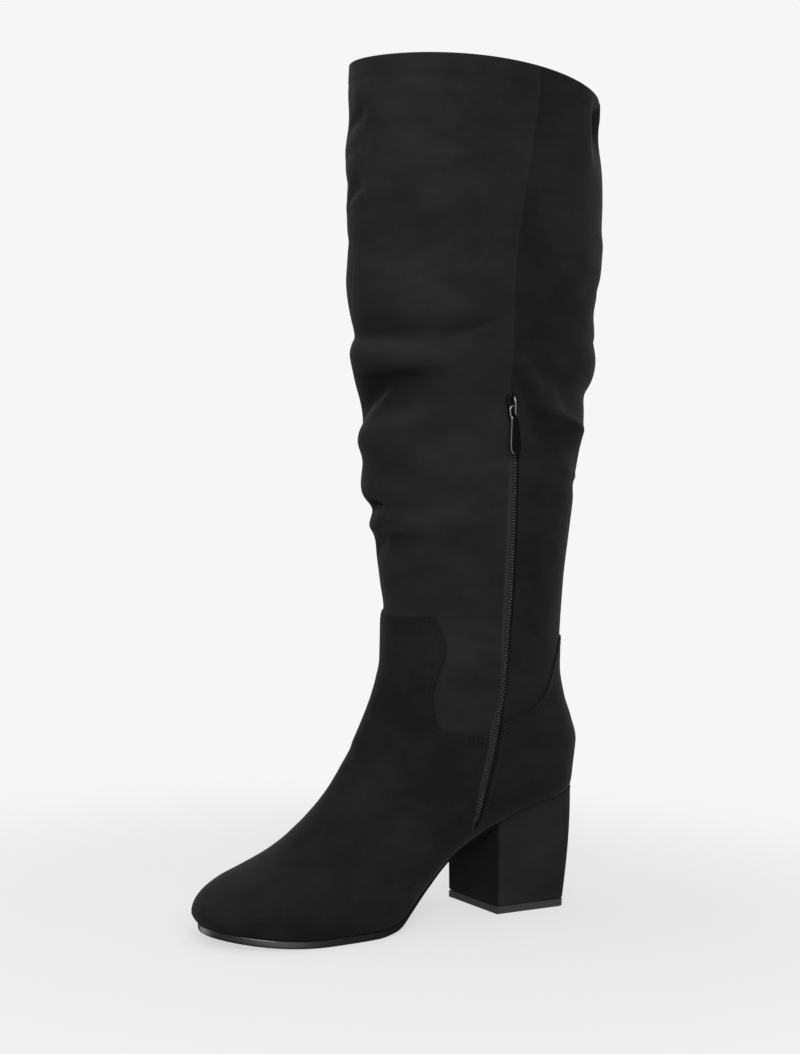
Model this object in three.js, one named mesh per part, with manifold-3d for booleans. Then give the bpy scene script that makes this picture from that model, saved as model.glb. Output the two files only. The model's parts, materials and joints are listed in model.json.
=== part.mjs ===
// A knee-high slouch boot for the right foot, in suede-like fabric, on a block heel.
// Sizes are in millimetres.
// +Z is up, the toe points to -Y and +X is the inner side of the foot, where the zip is.
// The origin is the middle of the heel's footprint on the floor.
import * as THREE from 'three';
import { mergeVertices } from 'three/addons/utils/BufferGeometryUtils.js';
import Module from 'manifold-3d';

const wasm = await Module();
wasm.setup();

// Foot and sole
const BOTTOM_LENGTH = 228; // feather line, from the seat's back to the toe, along the floor
const SEAT_OVERHANG = 33; // seat's back behind the middle of the heel
const BALL_WIDTH = 79;
const SEAT_WIDTH = 52;
const HEEL_HEIGHT = 66; // floor to the seat, at the back
const TOE_SPRING = 5.5;
const TOE_SWING = 10; // how far the toe turns to the inner side
const SOLE_THICKNESS = 4.5;
const WAIST_THICKNESS = 3;
const SOLE_LEDGE = 1.4; // the outsole stands proud of the upper
const INSOLE_THICKNESS = 2;

// Upper
const WALL = 2;
const ANKLE_RISE = 84; // ankle above the seat
const ANKLE_DEPTH = 106;
const ANKLE_WIDTH = 77;
const SHAFT_LENGTH = 299; // ankle to the side of the collar
const COLLAR_DEPTH = 147;
const COLLAR_WIDTH = 108;
const COLLAR_DROP = 14; // the collar's back lies lower than its front
const COLLAR_CROWN = 2.5; // the collar's sides stand higher than its ends
const SHAFT_FORWARD = 36.5; // middle of the collar in front of the middle of the heel
const BACK_INSET = 10.2; // the ankle's back in front of the seat's back
const OVERLAY = 0.9; // vamp and counter stand proud of the shaft

// Heel
const HEEL_BASE_WIDTH = 46.5;
const HEEL_BASE_LENGTH = 49;
const LIFT_THICKNESS = 4.4;
const BREAST = 26; // heel breast in front of the middle of the heel, at the seat

// Zip
const ZIP_SLOT = 7;
const TAPE_THICKNESS = 0.8;
const ZIP_FOOT = 0.773 * HEEL_HEIGHT; // floor to the zip's lower end
const ZIP_LENGTH = 231;
const TAPE_SINK = 0.3; // the tape lies a little below the shaft's surface
const CHAIN_WIDTH = 3.6;
const CHAIN_HEIGHT = 1.3;
const SLIDER_WIDTH = 7;
const SLIDER_LENGTH = 12;
const SLIDER_PLATE = 1.2;
const PULL_LENGTH = 25;
const PULL_WIDTH = 6.4;
const PULL_THICKNESS = 1.2;
const BAIL_WIRE = 1.4;

const GAP = 0.3; // between pieces that touch in the real boot
const AROUND = 25; // points round each section of the upper
const ROW_PITCH = 11; // greatest distance between two sections of the shaft

const ANKLE_HEIGHT = HEEL_HEIGHT + ANKLE_RISE;
const rad = THREE.MathUtils.degToRad;
const { clamp, lerp, smoothstep } = THREE.MathUtils;

// Rows of a short table as objects, from the names of its columns.
function table(columns, rows) {
  return rows.map((row) => Object.fromEntries(columns.map((column, i) => [column, row[i]])));
}

// Smooth curve through a short table: a monotone cubic, so it never overshoots between two rows.
function curveThrough(knots, values) {
  const n = knots.length;
  const slope = knots.slice(1).map((k, i) => (values[i + 1] - values[i]) / (k - knots[i]));
  const tangent = knots.map((_, i) => {
    if (i === 0) return slope[0];
    if (i === n - 1) return slope[n - 2];
    const [a, b] = [slope[i - 1], slope[i]];
    return a * b > 0 ? (2 * a * b) / (a + b) : 0;
  });
  return (x) => {
    let i = 0;
    while (i < n - 2 && x > knots[i + 1]) i += 1;
    const step = knots[i + 1] - knots[i];
    const u = clamp((x - knots[i]) / step, 0, 1);
    const [u2, u3] = [u * u, u * u * u];
    return (2 * u3 - 3 * u2 + 1) * values[i] + (u3 - 2 * u2 + u) * step * tangent[i]
      + (3 * u2 - 2 * u3) * values[i + 1] + (u3 - u2) * step * tangent[i + 1];
  };
}

function tableCurve(rows, key, value) {
  return curveThrough(rows.map((r) => r[key]), rows.map((r) => r[value]));
}

// Bottom of the last. "along" is 0 at the seat's back and 1 at the toe.
// "rise" is a share of the heel's height above the forepart.
const BOTTOM_ROWS = table([
  'name', 'along', 'rise',
], [
  ['seat back', 0, 1],
  ['seat', 0.137, 0.92],
  ['breast', 0.25, 0.775],
  ['shank', 0.35, 0.575],
  ['arch', 0.455, 0.325],
  ['joint', 0.52, 0.155],
  ['tread', 0.57, 0.035],
  ['flat', 0.63, 0],
  ['toe', 1, 0],
]);
// Half widths of the feather line, as shares of the ball's width, before the ends are rounded.
const OUTLINE_ROWS = table([
  'name', 'along', 'inner', 'outer',
], [
  ['seat', 0, 0.33, 0.33],
  ['breast', 0.24, 0.3, 0.33],
  ['waist', 0.36, 0.255, 0.345],
  ['arch', 0.47, 0.345, 0.42],
  ['joint', 0.58, 0.44, 0.5],
  ['ball', 0.66, 0.455, 0.525],
  ['tread', 0.74, 0.445, 0.53],
  ['toe', 1, 0.4, 0.48],
]);
const HEEL_ROUND = 0.115; // share of the length over which the seat's back is rounded
const SEAT_FULL = 2.3; // 2 is a half ellipse, more is squarer
const TOE_ROUND = 0.27;
const SPRING_START = 0.76;
const SEAT_SHARE = 0.33; // seat's half width in the table above, which SEAT_WIDTH then sets

const bottomRise = tableCurve(BOTTOM_ROWS, 'along', 'rise');
const innerShare = tableCurve(OUTLINE_ROWS, 'along', 'inner');
const outerShare = tableCurve(OUTLINE_ROWS, 'along', 'outer');
const yAt = (along) => SEAT_OVERHANG - along * BOTTOM_LENGTH;
const alongAt = (y) => (SEAT_OVERHANG - y) / BOTTOM_LENGTH;
const toeRound = (along) => Math.sqrt(1 - clamp((along - 1 + TOE_ROUND) / TOE_ROUND, 0, 1) ** 2);
const heelRound = (along) => (1 - clamp(1 - along / HEEL_ROUND, 0, 1) ** SEAT_FULL) ** (1 / SEAT_FULL);
const SWING_START = 0.4;
const SWING_END = 1.05;
const swing = (along) => TOE_SWING * smoothstep(along, SWING_START, SWING_END);

// Height of the seam between upper and sole.
function seamHeight(along) {
  const spring = TOE_SPRING * clamp((along - SPRING_START) / (1 - SPRING_START), 0, 1.1) ** 2;
  return SOLE_THICKNESS + bottomRise(along) * (HEEL_HEIGHT - SOLE_THICKNESS) + spring;
}

const WAIST_START = 0.2; // the seat's width sets the outline up to here
const WAIST_END = 0.4; // and the ball's width from here on

// Half widths of the feather line at a place along the bottom, from the swung middle.
function feather(along) {
  const seat = smoothstep(along, WAIST_START, WAIST_END);
  const width = lerp(SEAT_WIDTH / (2 * SEAT_SHARE), BALL_WIDTH, seat);
  const ends = toeRound(along) * heelRound(along);
  return { inner: innerShare(along) * width * ends, outer: outerShare(along) * width * ends };
}

// Sections of the upper. Each lies in a plane that holds a point of the front profile and one of the back
// or the bottom.
// Shaft: "height" is a share of its length above the ankle. "fill" is the depth from the ankle's at 0 to the
// collar's at 1, "spread" the width likewise, and "forward" and "tilt" are shares of the collar's.
const SHAFT_ROWS = table([
  'name', 'height', 'fill', 'spread', 'forward', 'tilt',
], [
  ['collar', 1, 1, 1, 1, 1],
  ['below collar', 0.94, 1.06, 0.95, 0.985, 0.8],
  ['upper calf', 0.79, 1.14, 0.82, 0.935, 0.35],
  ['calf', 0.65, 1.1, 0.7, 0.92, 0],
  ['mid calf', 0.505, 0.95, 0.555, 0.9, 0],
  ['zip top', 0.4, 0.745, 0.46, 0.925, 0],
  ['lower calf', 0.3, 0.58, 0.36, 0.935, 0],
  ['slouch', 0.2, 0.29, 0.26, 0.88, 0],
  ['above ankle', 0.1, 0.06, 0.14, 0.84, 0],
]);
// Heel: the front point lies on the instep and the back point on the counter.
// "front" and "frontRise" place the first, "inset" and "backRise" the second. Widths are shares of the
// ankle's.
const HEEL_ROWS = table([
  'name', 'front', 'frontRise', 'inset', 'backRise', 'width',
], [
  ['ankle', 0.51, 1, 1, 1, 1],
  ['throat', 0.511, 0.918, 1.04, 0.81, 1],
  ['tendon', 0.523, 0.848, 0.657, 0.607, 0.98],
  ['counter top', 0.539, 0.782, 0.118, 0.458, 0.96],
  ['counter bulge', 0.557, 0.723, -0.304, 0.298, 0.945],
  ['counter', 0.575, 0.667, -0.255, 0.143, 0.935],
  ['seat back', 0.589, 0.625, 0, 0, 0.93],
]);
// Foot: the back point lies on the bottom, at "bottom". Widths are shares of the ball's, "wide" is how high
// they lie, "top" how full the instep is and "tuck" how far the sides turn under, in degrees.
const FOOT_ROWS = table([
  'name', 'front', 'frontRise', 'bottom', 'inner', 'outer', 'wide', 'top', 'tuck',
], [
  ['seat end', 0.594, 0.6025, 0.012, 0.454, 0.454, 0.36, 2, 84],
  ['seat turn', 0.603, 0.5765, 0.045, 0.452, 0.452, 0.35, 2, 76],
  ['seat', 0.616, 0.5435, 0.1, 0.447, 0.45, 0.34, 2, 68],
  ['seat front', 0.631, 0.5055, 0.165, 0.441, 0.447, 0.33, 1.98, 64],
  ['breast', 0.65, 0.4605, 0.245, 0.434, 0.446, 0.33, 1.95, 62],
  ['waist', 0.672, 0.4155, 0.335, 0.429, 0.451, 0.33, 1.95, 62],
  ['arch', 0.699, 0.3675, 0.43, 0.441, 0.474, 0.33, 1.95, 62],
  ['joint', 0.733, 0.3165, 0.53, 0.469, 0.521, 0.33, 2, 62],
  ['ball', 0.773, 0.2685, 0.63, 0.499, 0.564, 0.33, 2.05, 62],
  ['tread', 0.817, 0.2305, 0.715, 0.501, 0.571, 0.36, 2.1, 62],
  ['vamp', 0.862, 0.2025, 0.785, 0.489, 0.564, 0.38, 2.15, 62],
  ['toe box', 0.906, 0.1805, 0.845, 0.479, 0.554, 0.4, 2.2, 64],
  ['toe crown', 0.945, 0.1575, 0.895, 0.469, 0.544, 0.4, 2.2, 66],
  ['toe', 0.976, 0.1305, 0.93, 0.464, 0.544, 0.38, 2.15, 68],
  ['nose', 0.999, 0.0985, 0.957, 0.464, 0.544, 0.32, 2.1, 70],
  ['nose turn', 1.009, 0.0735, 0.976, 0.464, 0.544, 0.25, 2, 72],
  ['nose low', 1.009, 0.0585, 0.99, 0.464, 0.544, 0.2, 1.9, 74],
  ['toe end', 1, 0, 1, 0.464, 0.544, 0.2, 1.9, 74],
]);

// One control section: front and back points in side view, half widths and shape.
function shaftSection(row) {
  const lift = (row.tilt * COLLAR_DROP) / 2;
  const z = ANKLE_HEIGHT + row.height * SHAFT_LENGTH;
  const depth = lerp(ANKLE_DEPTH, COLLAR_DEPTH, row.fill) / 2;
  const width = lerp(ANKLE_WIDTH, COLLAR_WIDTH, row.spread) / 2;
  const middle = -row.forward * SHAFT_FORWARD;
  return {
    fy: middle - depth, fz: z + lift, by: middle + depth, bz: z - lift, bottom: 0,
    inner: width, outer: width, wide: 0.5, top: 2, tuck: 90, crown: row.tilt * COLLAR_CROWN,
  };
}

function frontPoint(row) {
  const z = SOLE_THICKNESS + row.frontRise * (ANKLE_HEIGHT - SOLE_THICKNESS);
  return { fy: yAt(row.front), fz: Math.max(z, seamHeight(row.front)) };
}

const SEAT_WIDE = 0.37; // how high the upper is widest at the seat

function heelSection(row) {
  const half = (row.width * ANKLE_WIDTH) / 2;
  return {
    ...frontPoint(row),
    by: SEAT_OVERHANG - row.inset * BACK_INSET,
    bz: HEEL_HEIGHT + row.backRise * ANKLE_RISE,
    bottom: 0, inner: half, outer: half, top: 2, tuck: 90, crown: 0,
    wide: lerp(SEAT_WIDE, 0.5, row.backRise),
  };
}

function footSection(row) {
  return {
    ...frontPoint(row), by: yAt(row.bottom), bz: seamHeight(row.bottom), bottom: row.bottom, crown: 0,
    inner: row.inner * BALL_WIDTH, outer: row.outer * BALL_WIDTH,
    wide: row.wide, top: row.top, tuck: row.tuck,
  };
}

const CONTROL = [
  ...SHAFT_ROWS.map(shaftSection), ...HEEL_ROWS.map(heelSection), ...FOOT_ROWS.map(footSection),
];
// From this section on, the upper is open underneath.
const SEAT_BACK = SHAFT_ROWS.length + HEEL_ROWS.length - 1;

// Distance along the upper at each control section: the mean path of the front and back points.
const KNOTS = [0];
CONTROL.slice(1).forEach((c, i) => {
  const p = CONTROL[i];
  const path = Math.hypot(c.fy - p.fy, c.fz - p.fz) + Math.hypot(c.by - p.by, c.bz - p.bz);
  KNOTS.push(KNOTS[i] + path / 2);
});
const COLUMN = Object.fromEntries(Object.keys(CONTROL[0]).map((key) =>
  [key, curveThrough(KNOTS, CONTROL.map((c) => c[key]))]));

// Slouch folds of the shaft, each a soft ridge (+) or trough (-). "height" is a share of the shaft's length
// above the ankle, "round" the angle from the front towards the inner side, "reach" half the angle that it
// covers, "up" and "down" how far it fades above and below its line, "slant" how much it climbs over its
// reach. Depth, up, down and slant are shares of the shaft's length.
const FOLDS = table([
  'name', 'height', 'round', 'reach', 'depth', 'up', 'down', 'slant',
], [
  ['ledge crease', 0.537, 32, 42, -0.008, 0.0301, 0.0167, 0.0201],
  ['ledge roll', 0.5, 22, 48, 0.008, 0.0268, 0.0368, 0.01],
  ['deep pocket', 0.425, 14, 34, -0.0147, 0.0234, 0.0301, 0.0401],
  ['pocket lip', 0.375, 18, 42, 0.0087, 0.0234, 0.0401, 0.0401],
  ['outer pocket', 0.33, -35, 45, -0.0087, 0.0301, 0.0334, -0.0268],
  ['upper dent', 0.93, -8, 26, -0.0074, 0.0268, 0.0401, -0.0268],
  ['upper roll', 0.86, -25, 40, 0.004, 0.0401, 0.0468, -0.0201],
  ['outer roll', 0.66, -70, 55, 0.0067, 0.0334, 0.0468, -0.0334],
  ['outer trough', 0.58, -80, 55, -0.0094, 0.0368, 0.0368, -0.0401],
  ['outer lip', 0.47, -85, 55, 0.0074, 0.0334, 0.0401, 0.0268],
  ['low front roll', 0.27, 5, 50, 0.0047, 0.0301, 0.0268, 0.0167],
  ['low front crease', 0.232, 0, 46, -0.0094, 0.0201, 0.0167, 0.0167],
  ['ankle roll', 0.205, 8, 52, 0.0054, 0.0167, 0.0201, 0.0134],
  ['ankle crease', 0.18, 4, 50, -0.0054, 0.0134, 0.0268, -0.01],
  ['front fall', 0.06, 0, 60, -0.0047, 0.0334, 0.0201, 0.01],
  ['zip top ridge', 0.47, 97, 13, 0.008, 0.0234, 0.0234, -0.0435],
  ['zip top fold', 0.4, 124, 24, 0.008, 0.0268, 0.0201, -0.0268],
  ['zip top trough', 0.35, 126, 26, -0.0074, 0.0201, 0.0334, -0.0268],
  ['back roll', 0.69, 150, 45, 0.0033, 0.0401, 0.0401, 0.0167],
  ['back trough', 0.6, 160, 45, -0.006, 0.0301, 0.0334, 0.0134],
  ['back lip', 0.5, 160, 40, 0.0054, 0.0301, 0.0401, -0.0201],
  ['back crease', 0.44, 165, 36, -0.0074, 0.0201, 0.0268, -0.0167],
  ['back pocket', 0.935, 146, 16, -0.01, 0.0401, 0.0502, 0.01],
  ['small crease', 0.29, 140, 28, -0.004, 0.0201, 0.0201, -0.01],
  ['outer ankle roll', 0.24, -110, 60, 0.0067, 0.0301, 0.0334, -0.0201],
  ['outer ankle crease', 0.16, -100, 55, -0.008, 0.0268, 0.0268, 0.0201],
]);

const FOLD_END = 1.6; // past this many reaches a fold is gone

function foldDepth(z, round) {
  return FOLDS.reduce((sum, fold) => {
    const turn = ((((round - fold.round) % 360) + 540) % 360) - 180;
    const side = clamp(turn / fold.reach, -FOLD_END, FOLD_END);
    const away = (z - ANKLE_HEIGHT) / SHAFT_LENGTH - fold.height - side * fold.slant;
    const fade = away / (away > 0 ? fold.up : fold.down);
    return sum + fold.depth * SHAFT_LENGTH * Math.exp(-fade * fade - side ** 4);
  }, 0);
}

// Folds fade out at the hem, at the zip and below the vamp's top edge.
const ZIP_ROUND = 84; // angle at which the zip runs
const ZIP_STIFF = 15; // half the angle that the zip keeps smooth
const ANKLE_FADE = [-8, 14]; // heights above the ankle between which the folds begin
const HEM_FADE = [6, 40]; // depths below the collar between which they end

function foldShare(z, round) {
  const zip = 1 - 0.9 * Math.exp(-(((round - ZIP_ROUND) / ZIP_STIFF) ** 4));
  const low = smoothstep(z - ANKLE_HEIGHT, ...ANKLE_FADE);
  return zip * low * smoothstep(ANKLE_HEIGHT + SHAFT_LENGTH - z, ...HEM_FADE);
}

// Point of the upper's outer form. "at" is the distance along it and "round" runs from 180 at the inner
// feather, over 0 at the front, to -180 at the outer feather.
function formPoint(at, round) {
  const c = Object.fromEntries(Object.entries(COLUMN).map(([key, curve]) => [key, curve(at)]));
  const open = at > KNOTS[SEAT_BACK];
  const along = open ? c.bottom : 0;
  const ends = open ? toeRound(along) : 1;
  const edge = open ? feather(along) : { inner: 0, outer: 0 };
  const side = round > 0 ? 'inner' : 'outer';
  const half = Math.max(c[side] * ends, edge[side]);
  const turn = rad(Math.abs(round));
  let across;
  let up;
  if (turn <= Math.PI / 2) {
    across = half * Math.sin(turn) ** (2 / c.top);
    up = c.wide + (1 - c.wide) * Math.max(0, Math.cos(turn)) ** (2 / c.top);
  } else {
    const end = rad(c.tuck);
    const low = ((turn - Math.PI / 2) / (Math.PI / 2)) * end;
    across = edge[side] + ((half - edge[side]) * (Math.cos(low) - Math.cos(end))) / (1 - Math.cos(end));
    up = c.wide * (1 - Math.sin(low) / Math.sin(end));
  }
  const seam = open ? seamHeight(along) : c.bz;
  const x = (open ? swing(along) : 0) + Math.sign(round) * across;
  const sideways = half > 0 ? across / half : 0;
  const crown = c.crown * (2 * sideways ** 2 - 1);
  return new THREE.Vector3(x, lerp(c.by, c.fy, up), lerp(seam, c.fz, up) + crown);
}

// Stations along the upper: every control section, with more between those that lie far apart.
function stations() {
  const list = [];
  KNOTS.slice(1).forEach((end, i) => {
    const start = KNOTS[i];
    const count = Math.max(1, Math.ceil((end - start) / ROW_PITCH));
    for (let k = 0; k < count; k += 1) list.push(lerp(start, end, k / count));
  });
  return [...list, KNOTS.at(-1)];
}
const STATIONS = stations();
const FIRST_OPEN = STATIONS.findIndex((at) => at >= KNOTS[SEAT_BACK]);
const ROUNDS = Array.from({ length: AROUND }, (_, j) => 180 - (360 * j) / (AROUND - 1));

// Unit normals of a grid of points. Rows above the seat are closed, so their first and last points are one.
function gridNormals(grid) {
  const last = AROUND - 1;
  return grid.map((row, i) => row.map((p, j) => {
    const closed = i <= FIRST_OPEN && (j === 0 || j === last);
    const before = closed ? row[last - 1] : row[Math.max(0, j - 1)];
    const after = closed ? row[1] : row[Math.min(last, j + 1)];
    const above = grid[Math.max(0, i - 1)][j];
    const below = grid[Math.min(grid.length - 1, i + 1)][j];
    const round = after.clone().sub(before);
    const down = below.clone().sub(above);
    return round.cross(down).normalize();
  }));
}

const smoothGrid = STATIONS.map((at) => ROUNDS.map((round) => formPoint(at, round)));
const smoothNormals = gridNormals(smoothGrid);
const foldedGrid = smoothGrid.map((row, i) => row.map((p, j) => {
  const depth = foldDepth(p.z, ROUNDS[j]) * foldShare(p.z, ROUNDS[j]);
  return p.clone().addScaledVector(smoothNormals[i][j], depth);
}));
const foldedNormals = gridNormals(foldedGrid);

const EDGE_SLOPE = 0.7; // the wall's edge is cut level with the seam, and spreads no more than this allows

// The upper's form moved in or out. Its lower edge stays on the seam with the sole, and its collar keeps
// its height.
function movedGrid(offset) {
  const end = foldedGrid.length - 1;
  return foldedGrid.map((row, i) => row.map((p, j) => {
    const q = p.clone().addScaledVector(foldedNormals[i][j], offset);
    if (i === 0) q.z = p.z;
    if (i === end) return new THREE.Vector3(p.x, p.y - offset, seamHeight(1));
    if (i < FIRST_OPEN) return q;
    if (j > 0 && j < AROUND - 1) {
      q.z = Math.max(q.z, seamHeight(alongAt(q.y)));
      return q;
    }
    if (i === FIRST_OPEN) return new THREE.Vector3(0, p.y + offset, p.z);
    const { x, y } = foldedNormals[i][j];
    const flat = Math.max(EDGE_SLOPE, x * x + y * y);
    q.x = p.x + (offset * x) / flat;
    q.y = p.y + (offset * y) / flat;
    q.z = seamHeight(alongAt(q.y));
    return q;
  }));
}

// Triangles that join up into one closed geometry: shared corners are merged, collapsed triangles dropped.
function closedGeometry(corners) {
  const raw = new THREE.BufferGeometry();
  raw.setAttribute('position', new THREE.Float32BufferAttribute(corners.flatMap((p) => [p.x, p.y, p.z]), 3));
  return weld(raw);
}

function weld(geometry) {
  const bare = geometry.index ? geometry.toNonIndexed() : geometry.clone();
  bare.deleteAttribute('normal');
  bare.deleteAttribute('uv');
  const merged = mergeVertices(bare, 1e-3);
  const index = [];
  for (let k = 0; k < merged.index.count; k += 3) {
    const [a, b, c] = [0, 1, 2].map((n) => merged.index.getX(k + n));
    if (a !== b && b !== c && c !== a) index.push(a, b, c);
  }
  merged.setIndex(index);
  return merged;
}

function solid(geometry) {
  const g = weld(geometry);
  return new wasm.Manifold(new wasm.Mesh({
    numProp: 3,
    vertProperties: new Float32Array(g.attributes.position.array),
    triVerts: new Uint32Array(g.index.array),
  }));
}

function geometryOf(manifold) {
  const mesh = manifold.getMesh();
  const g = new THREE.BufferGeometry();
  g.setAttribute('position', new THREE.BufferAttribute(mesh.vertProperties, 3));
  g.setIndex(new THREE.BufferAttribute(mesh.triVerts, 1));
  const shown = g.toNonIndexed();
  shown.computeVertexNormals();
  return shown;
}

const quad = (a, b, c, d) => [a, b, c, a, c, d];

// A wall between two offsets of the upper's form, open at the collar and underneath.
function wallSolid(outOffset, inOffset) {
  const out = movedGrid(outOffset);
  const inside = movedGrid(inOffset);
  const last = AROUND - 1;
  const corners = [];
  for (let i = 0; i < out.length - 1; i += 1) {
    for (let j = 0; j < last; j += 1) {
      corners.push(...quad(out[i][j], out[i][j + 1], out[i + 1][j + 1], out[i + 1][j]));
      corners.push(...quad(inside[i][j], inside[i + 1][j], inside[i + 1][j + 1], inside[i][j + 1]));
    }
    if (i >= FIRST_OPEN) {
      corners.push(...quad(out[i][0], out[i + 1][0], inside[i + 1][0], inside[i][0]));
      corners.push(...quad(out[i][last], inside[i][last], inside[i + 1][last], out[i + 1][last]));
    }
  }
  for (let j = 0; j < last; j += 1) {
    corners.push(...quad(out[0][j], inside[0][j], inside[0][j + 1], out[0][j + 1]));
  }
  return solid(closedGeometry(corners));
}

const path = (points) => points.map(([y, z]) => new THREE.Vector2(y, z));

// A prism that runs along X through an outline in side view.
function sidePrism(outline, from, to) {
  const g = new THREE.ExtrudeGeometry(new THREE.Shape(outline), { depth: to - from, bevelEnabled: false });
  const [x, y, z] = [new THREE.Vector3(1, 0, 0), new THREE.Vector3(0, 1, 0), new THREE.Vector3(0, 0, 1)];
  g.applyMatrix4(new THREE.Matrix4().makeBasis(y, z, x));
  g.translate(from, 0, 0);
  return solid(g);
}

// Top edge of vamp and counter in side view, from the instep to the back. "along" is a share of the
// bottom's length, "height" a share of the ankle's height.
const OVERLAY_EDGE = table([
  'name', 'along', 'height',
], [
  ['instep', 0.62, 1.08],
  ['tongue front', 0.5, 1.085],
  ['tongue top', 0.462, 1.095],
  ['tongue corner', 0.445, 1.05],
  ['tongue side', 0.434, 0.98],
  ['notch', 0.446, 0.89],
  ['notch low', 0.457, 0.8],
  ['notch foot', 0.453, 0.738],
  ['quarter corner', 0.438, 0.694],
  ['quarter', 0.37, 0.677],
  ['zip front', 0.318, 0.656],
  ['zip back', 0.281, 0.726],
  ['counter rise', 0.226, 0.75],
  ['counter middle', 0.19, 0.783],
  ['counter', 0.161, 0.823],
  ['counter high', 0.135, 0.891],
  ['counter top', 0.107, 0.96],
  ['counter end', 0.09, 1],
  ['back', -0.2, 1.02],
]);
const REACH = 2 * BALL_WIDTH; // far enough to pass every side

function overlayRegion() {
  const edge = OVERLAY_EDGE.map((r) => [yAt(r.along), r.height * ANKLE_HEIGHT]);
  const [back, front] = [edge.at(-1)[0], yAt(1.2)];
  const outline = [...edge, [back, -REACH], [front, -REACH], [front, edge[0][1]]];
  return sidePrism(path(outline), -REACH, REACH);
}

// Line of the zip in side view. "rise" is a share of its length, "forward" a share of how far the shaft
// lies forward.
const ZIP_ROWS = table([
  'name', 'rise', 'forward',
], [
  ['foot', 0, 1.33],
  ['side', 0.08, 1.24],
  ['heel', 0.18, 1.085],
  ['ankle', 0.34, 0.98],
  ['calf', 0.48, 0.967],
  ['mid', 0.62, 0.985],
  ['high', 0.8, 1.02],
  ['top', 1, 1.12],
]);
const zipForward = tableCurve(ZIP_ROWS, 'rise', 'forward');
const zipPoint = (rise) =>
  new THREE.Vector2(-zipForward(rise) * SHAFT_FORWARD, ZIP_FOOT + rise * ZIP_LENGTH);
const ZIP_STEPS = 24;
const ZIP_STEP = 0.01; // share of the zip over which its direction is taken

// A ribbon along the zip in side view, as a prism through the inner side of the boot.
function zipRibbon(width, from, to) {
  const rows = Array.from({ length: ZIP_STEPS + 1 }, (_, k) => lerp(from, to, k / ZIP_STEPS));
  const sides = [-1, 1].map((side) => rows.map((rise) => {
    const tangent = zipPoint(rise + ZIP_STEP).sub(zipPoint(rise - ZIP_STEP)).normalize();
    const across = new THREE.Vector2(tangent.y, -tangent.x).multiplyScalar((side * width) / 2);
    return zipPoint(rise).add(across);
  }));
  return sidePrism([...sides[0], ...sides[1].reverse()], SEAT_WIDTH / 4, REACH);
}

// Rings: closed lines seen from above, clockwise, that start and end at the back or at the heel breast.
const TOE_STEPS = 9;
const SEAT_STEPS = 6;
const SIDE_STEPS = 24;

function ringStations(from) {
  const list = [];
  const seat = from < HEEL_ROUND ? HEEL_ROUND : from;
  for (let k = 0; from < HEEL_ROUND && k < SEAT_STEPS; k += 1) {
    list.push(HEEL_ROUND * (1 - Math.cos(((k / SEAT_STEPS) * Math.PI) / 2)));
  }
  for (let k = 0; k < SIDE_STEPS; k += 1) list.push(lerp(seat, 1 - TOE_ROUND, k / SIDE_STEPS));
  for (let k = 0; k <= TOE_STEPS; k += 1) {
    list.push(1 - TOE_ROUND + TOE_ROUND * Math.sin(((k / TOE_STEPS) * Math.PI) / 2));
  }
  return list;
}

// The feather line moved out by "offset", at the height that "level" gives for a place along the bottom.
function featherRing(from, offset, level) {
  const stops = ringStations(from);
  const place = (along, across) => new THREE.Vector2(swing(along) + across, yAt(along));
  const inner = stops.map((along) => place(along, feather(along).inner));
  const outer = stops.map((along) => place(along, -feather(along).outer));
  const line = [...inner, ...outer.reverse().slice(1)];
  const closed = line[0].distanceTo(line.at(-1)) < GAP;
  return line.map((p, k) => {
    const ends = k === 0 || k === line.length - 1;
    const before = ends && closed ? line.at(-2) : line[Math.max(0, k - 1)];
    const after = ends && closed ? line[1] : line[Math.min(line.length - 1, k + 1)];
    const tangent = after.clone().sub(before).normalize();
    const x = p.x - tangent.y * offset;
    const y = p.y + tangent.x * offset;
    return new THREE.Vector3(x, y, level(alongAt(y)));
  });
}

// A solid through a stack of rings from the top down, with its ends closed straight across.
function stackSolid(rings) {
  const corners = [];
  const n = rings[0].length;
  rings.slice(1).forEach((low, r) => {
    const high = rings[r];
    for (let k = 0; k < n; k += 1) {
      const next = (k + 1) % n;
      corners.push(...quad(high[k], high[next], low[next], low[k]));
    }
  });
  const [top, bottom] = [rings[0], rings.at(-1)];
  for (let k = 0; k < (n - 1) / 2; k += 1) {
    const [a, b] = [n - 1 - k, n - 2 - k];
    corners.push(...quad(top[k], top[a], top[b], top[k + 1]));
    corners.push(...quad(bottom[k], bottom[k + 1], bottom[b], bottom[a]));
  }
  return solid(closedGeometry(corners));
}

const EDGE_BEVEL = 1.2;
const THIN_END = 0.42; // the waist's thickness lasts up to here
const FULL_START = 0.6; // and the forepart's begins here
const EDGE_SHARE = 0.6; // upright part of the sole's edge
const soleShare = (along) => smoothstep(along, THIN_END, FULL_START);
const soleThickness = (along) => lerp(WAIST_THICKNESS, SOLE_THICKNESS, soleShare(along));

function outsole() {
  const start = alongAt(-BREAST - GAP);
  return stackSolid([
    featherRing(start, SOLE_LEDGE, (along) => seamHeight(along) - GAP),
    featherRing(start, SOLE_LEDGE, (along) => seamHeight(along) - EDGE_SHARE * soleThickness(along)),
    featherRing(start, SOLE_LEDGE - EDGE_BEVEL, (along) => seamHeight(along) - soleThickness(along)),
  ]);
}

function insole() {
  const inset = -2 * WALL - GAP;
  return stackSolid([
    featherRing(0, inset, (along) => seamHeight(along) + INSOLE_THICKNESS),
    featherRing(0, inset, seamHeight),
  ]);
}

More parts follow.
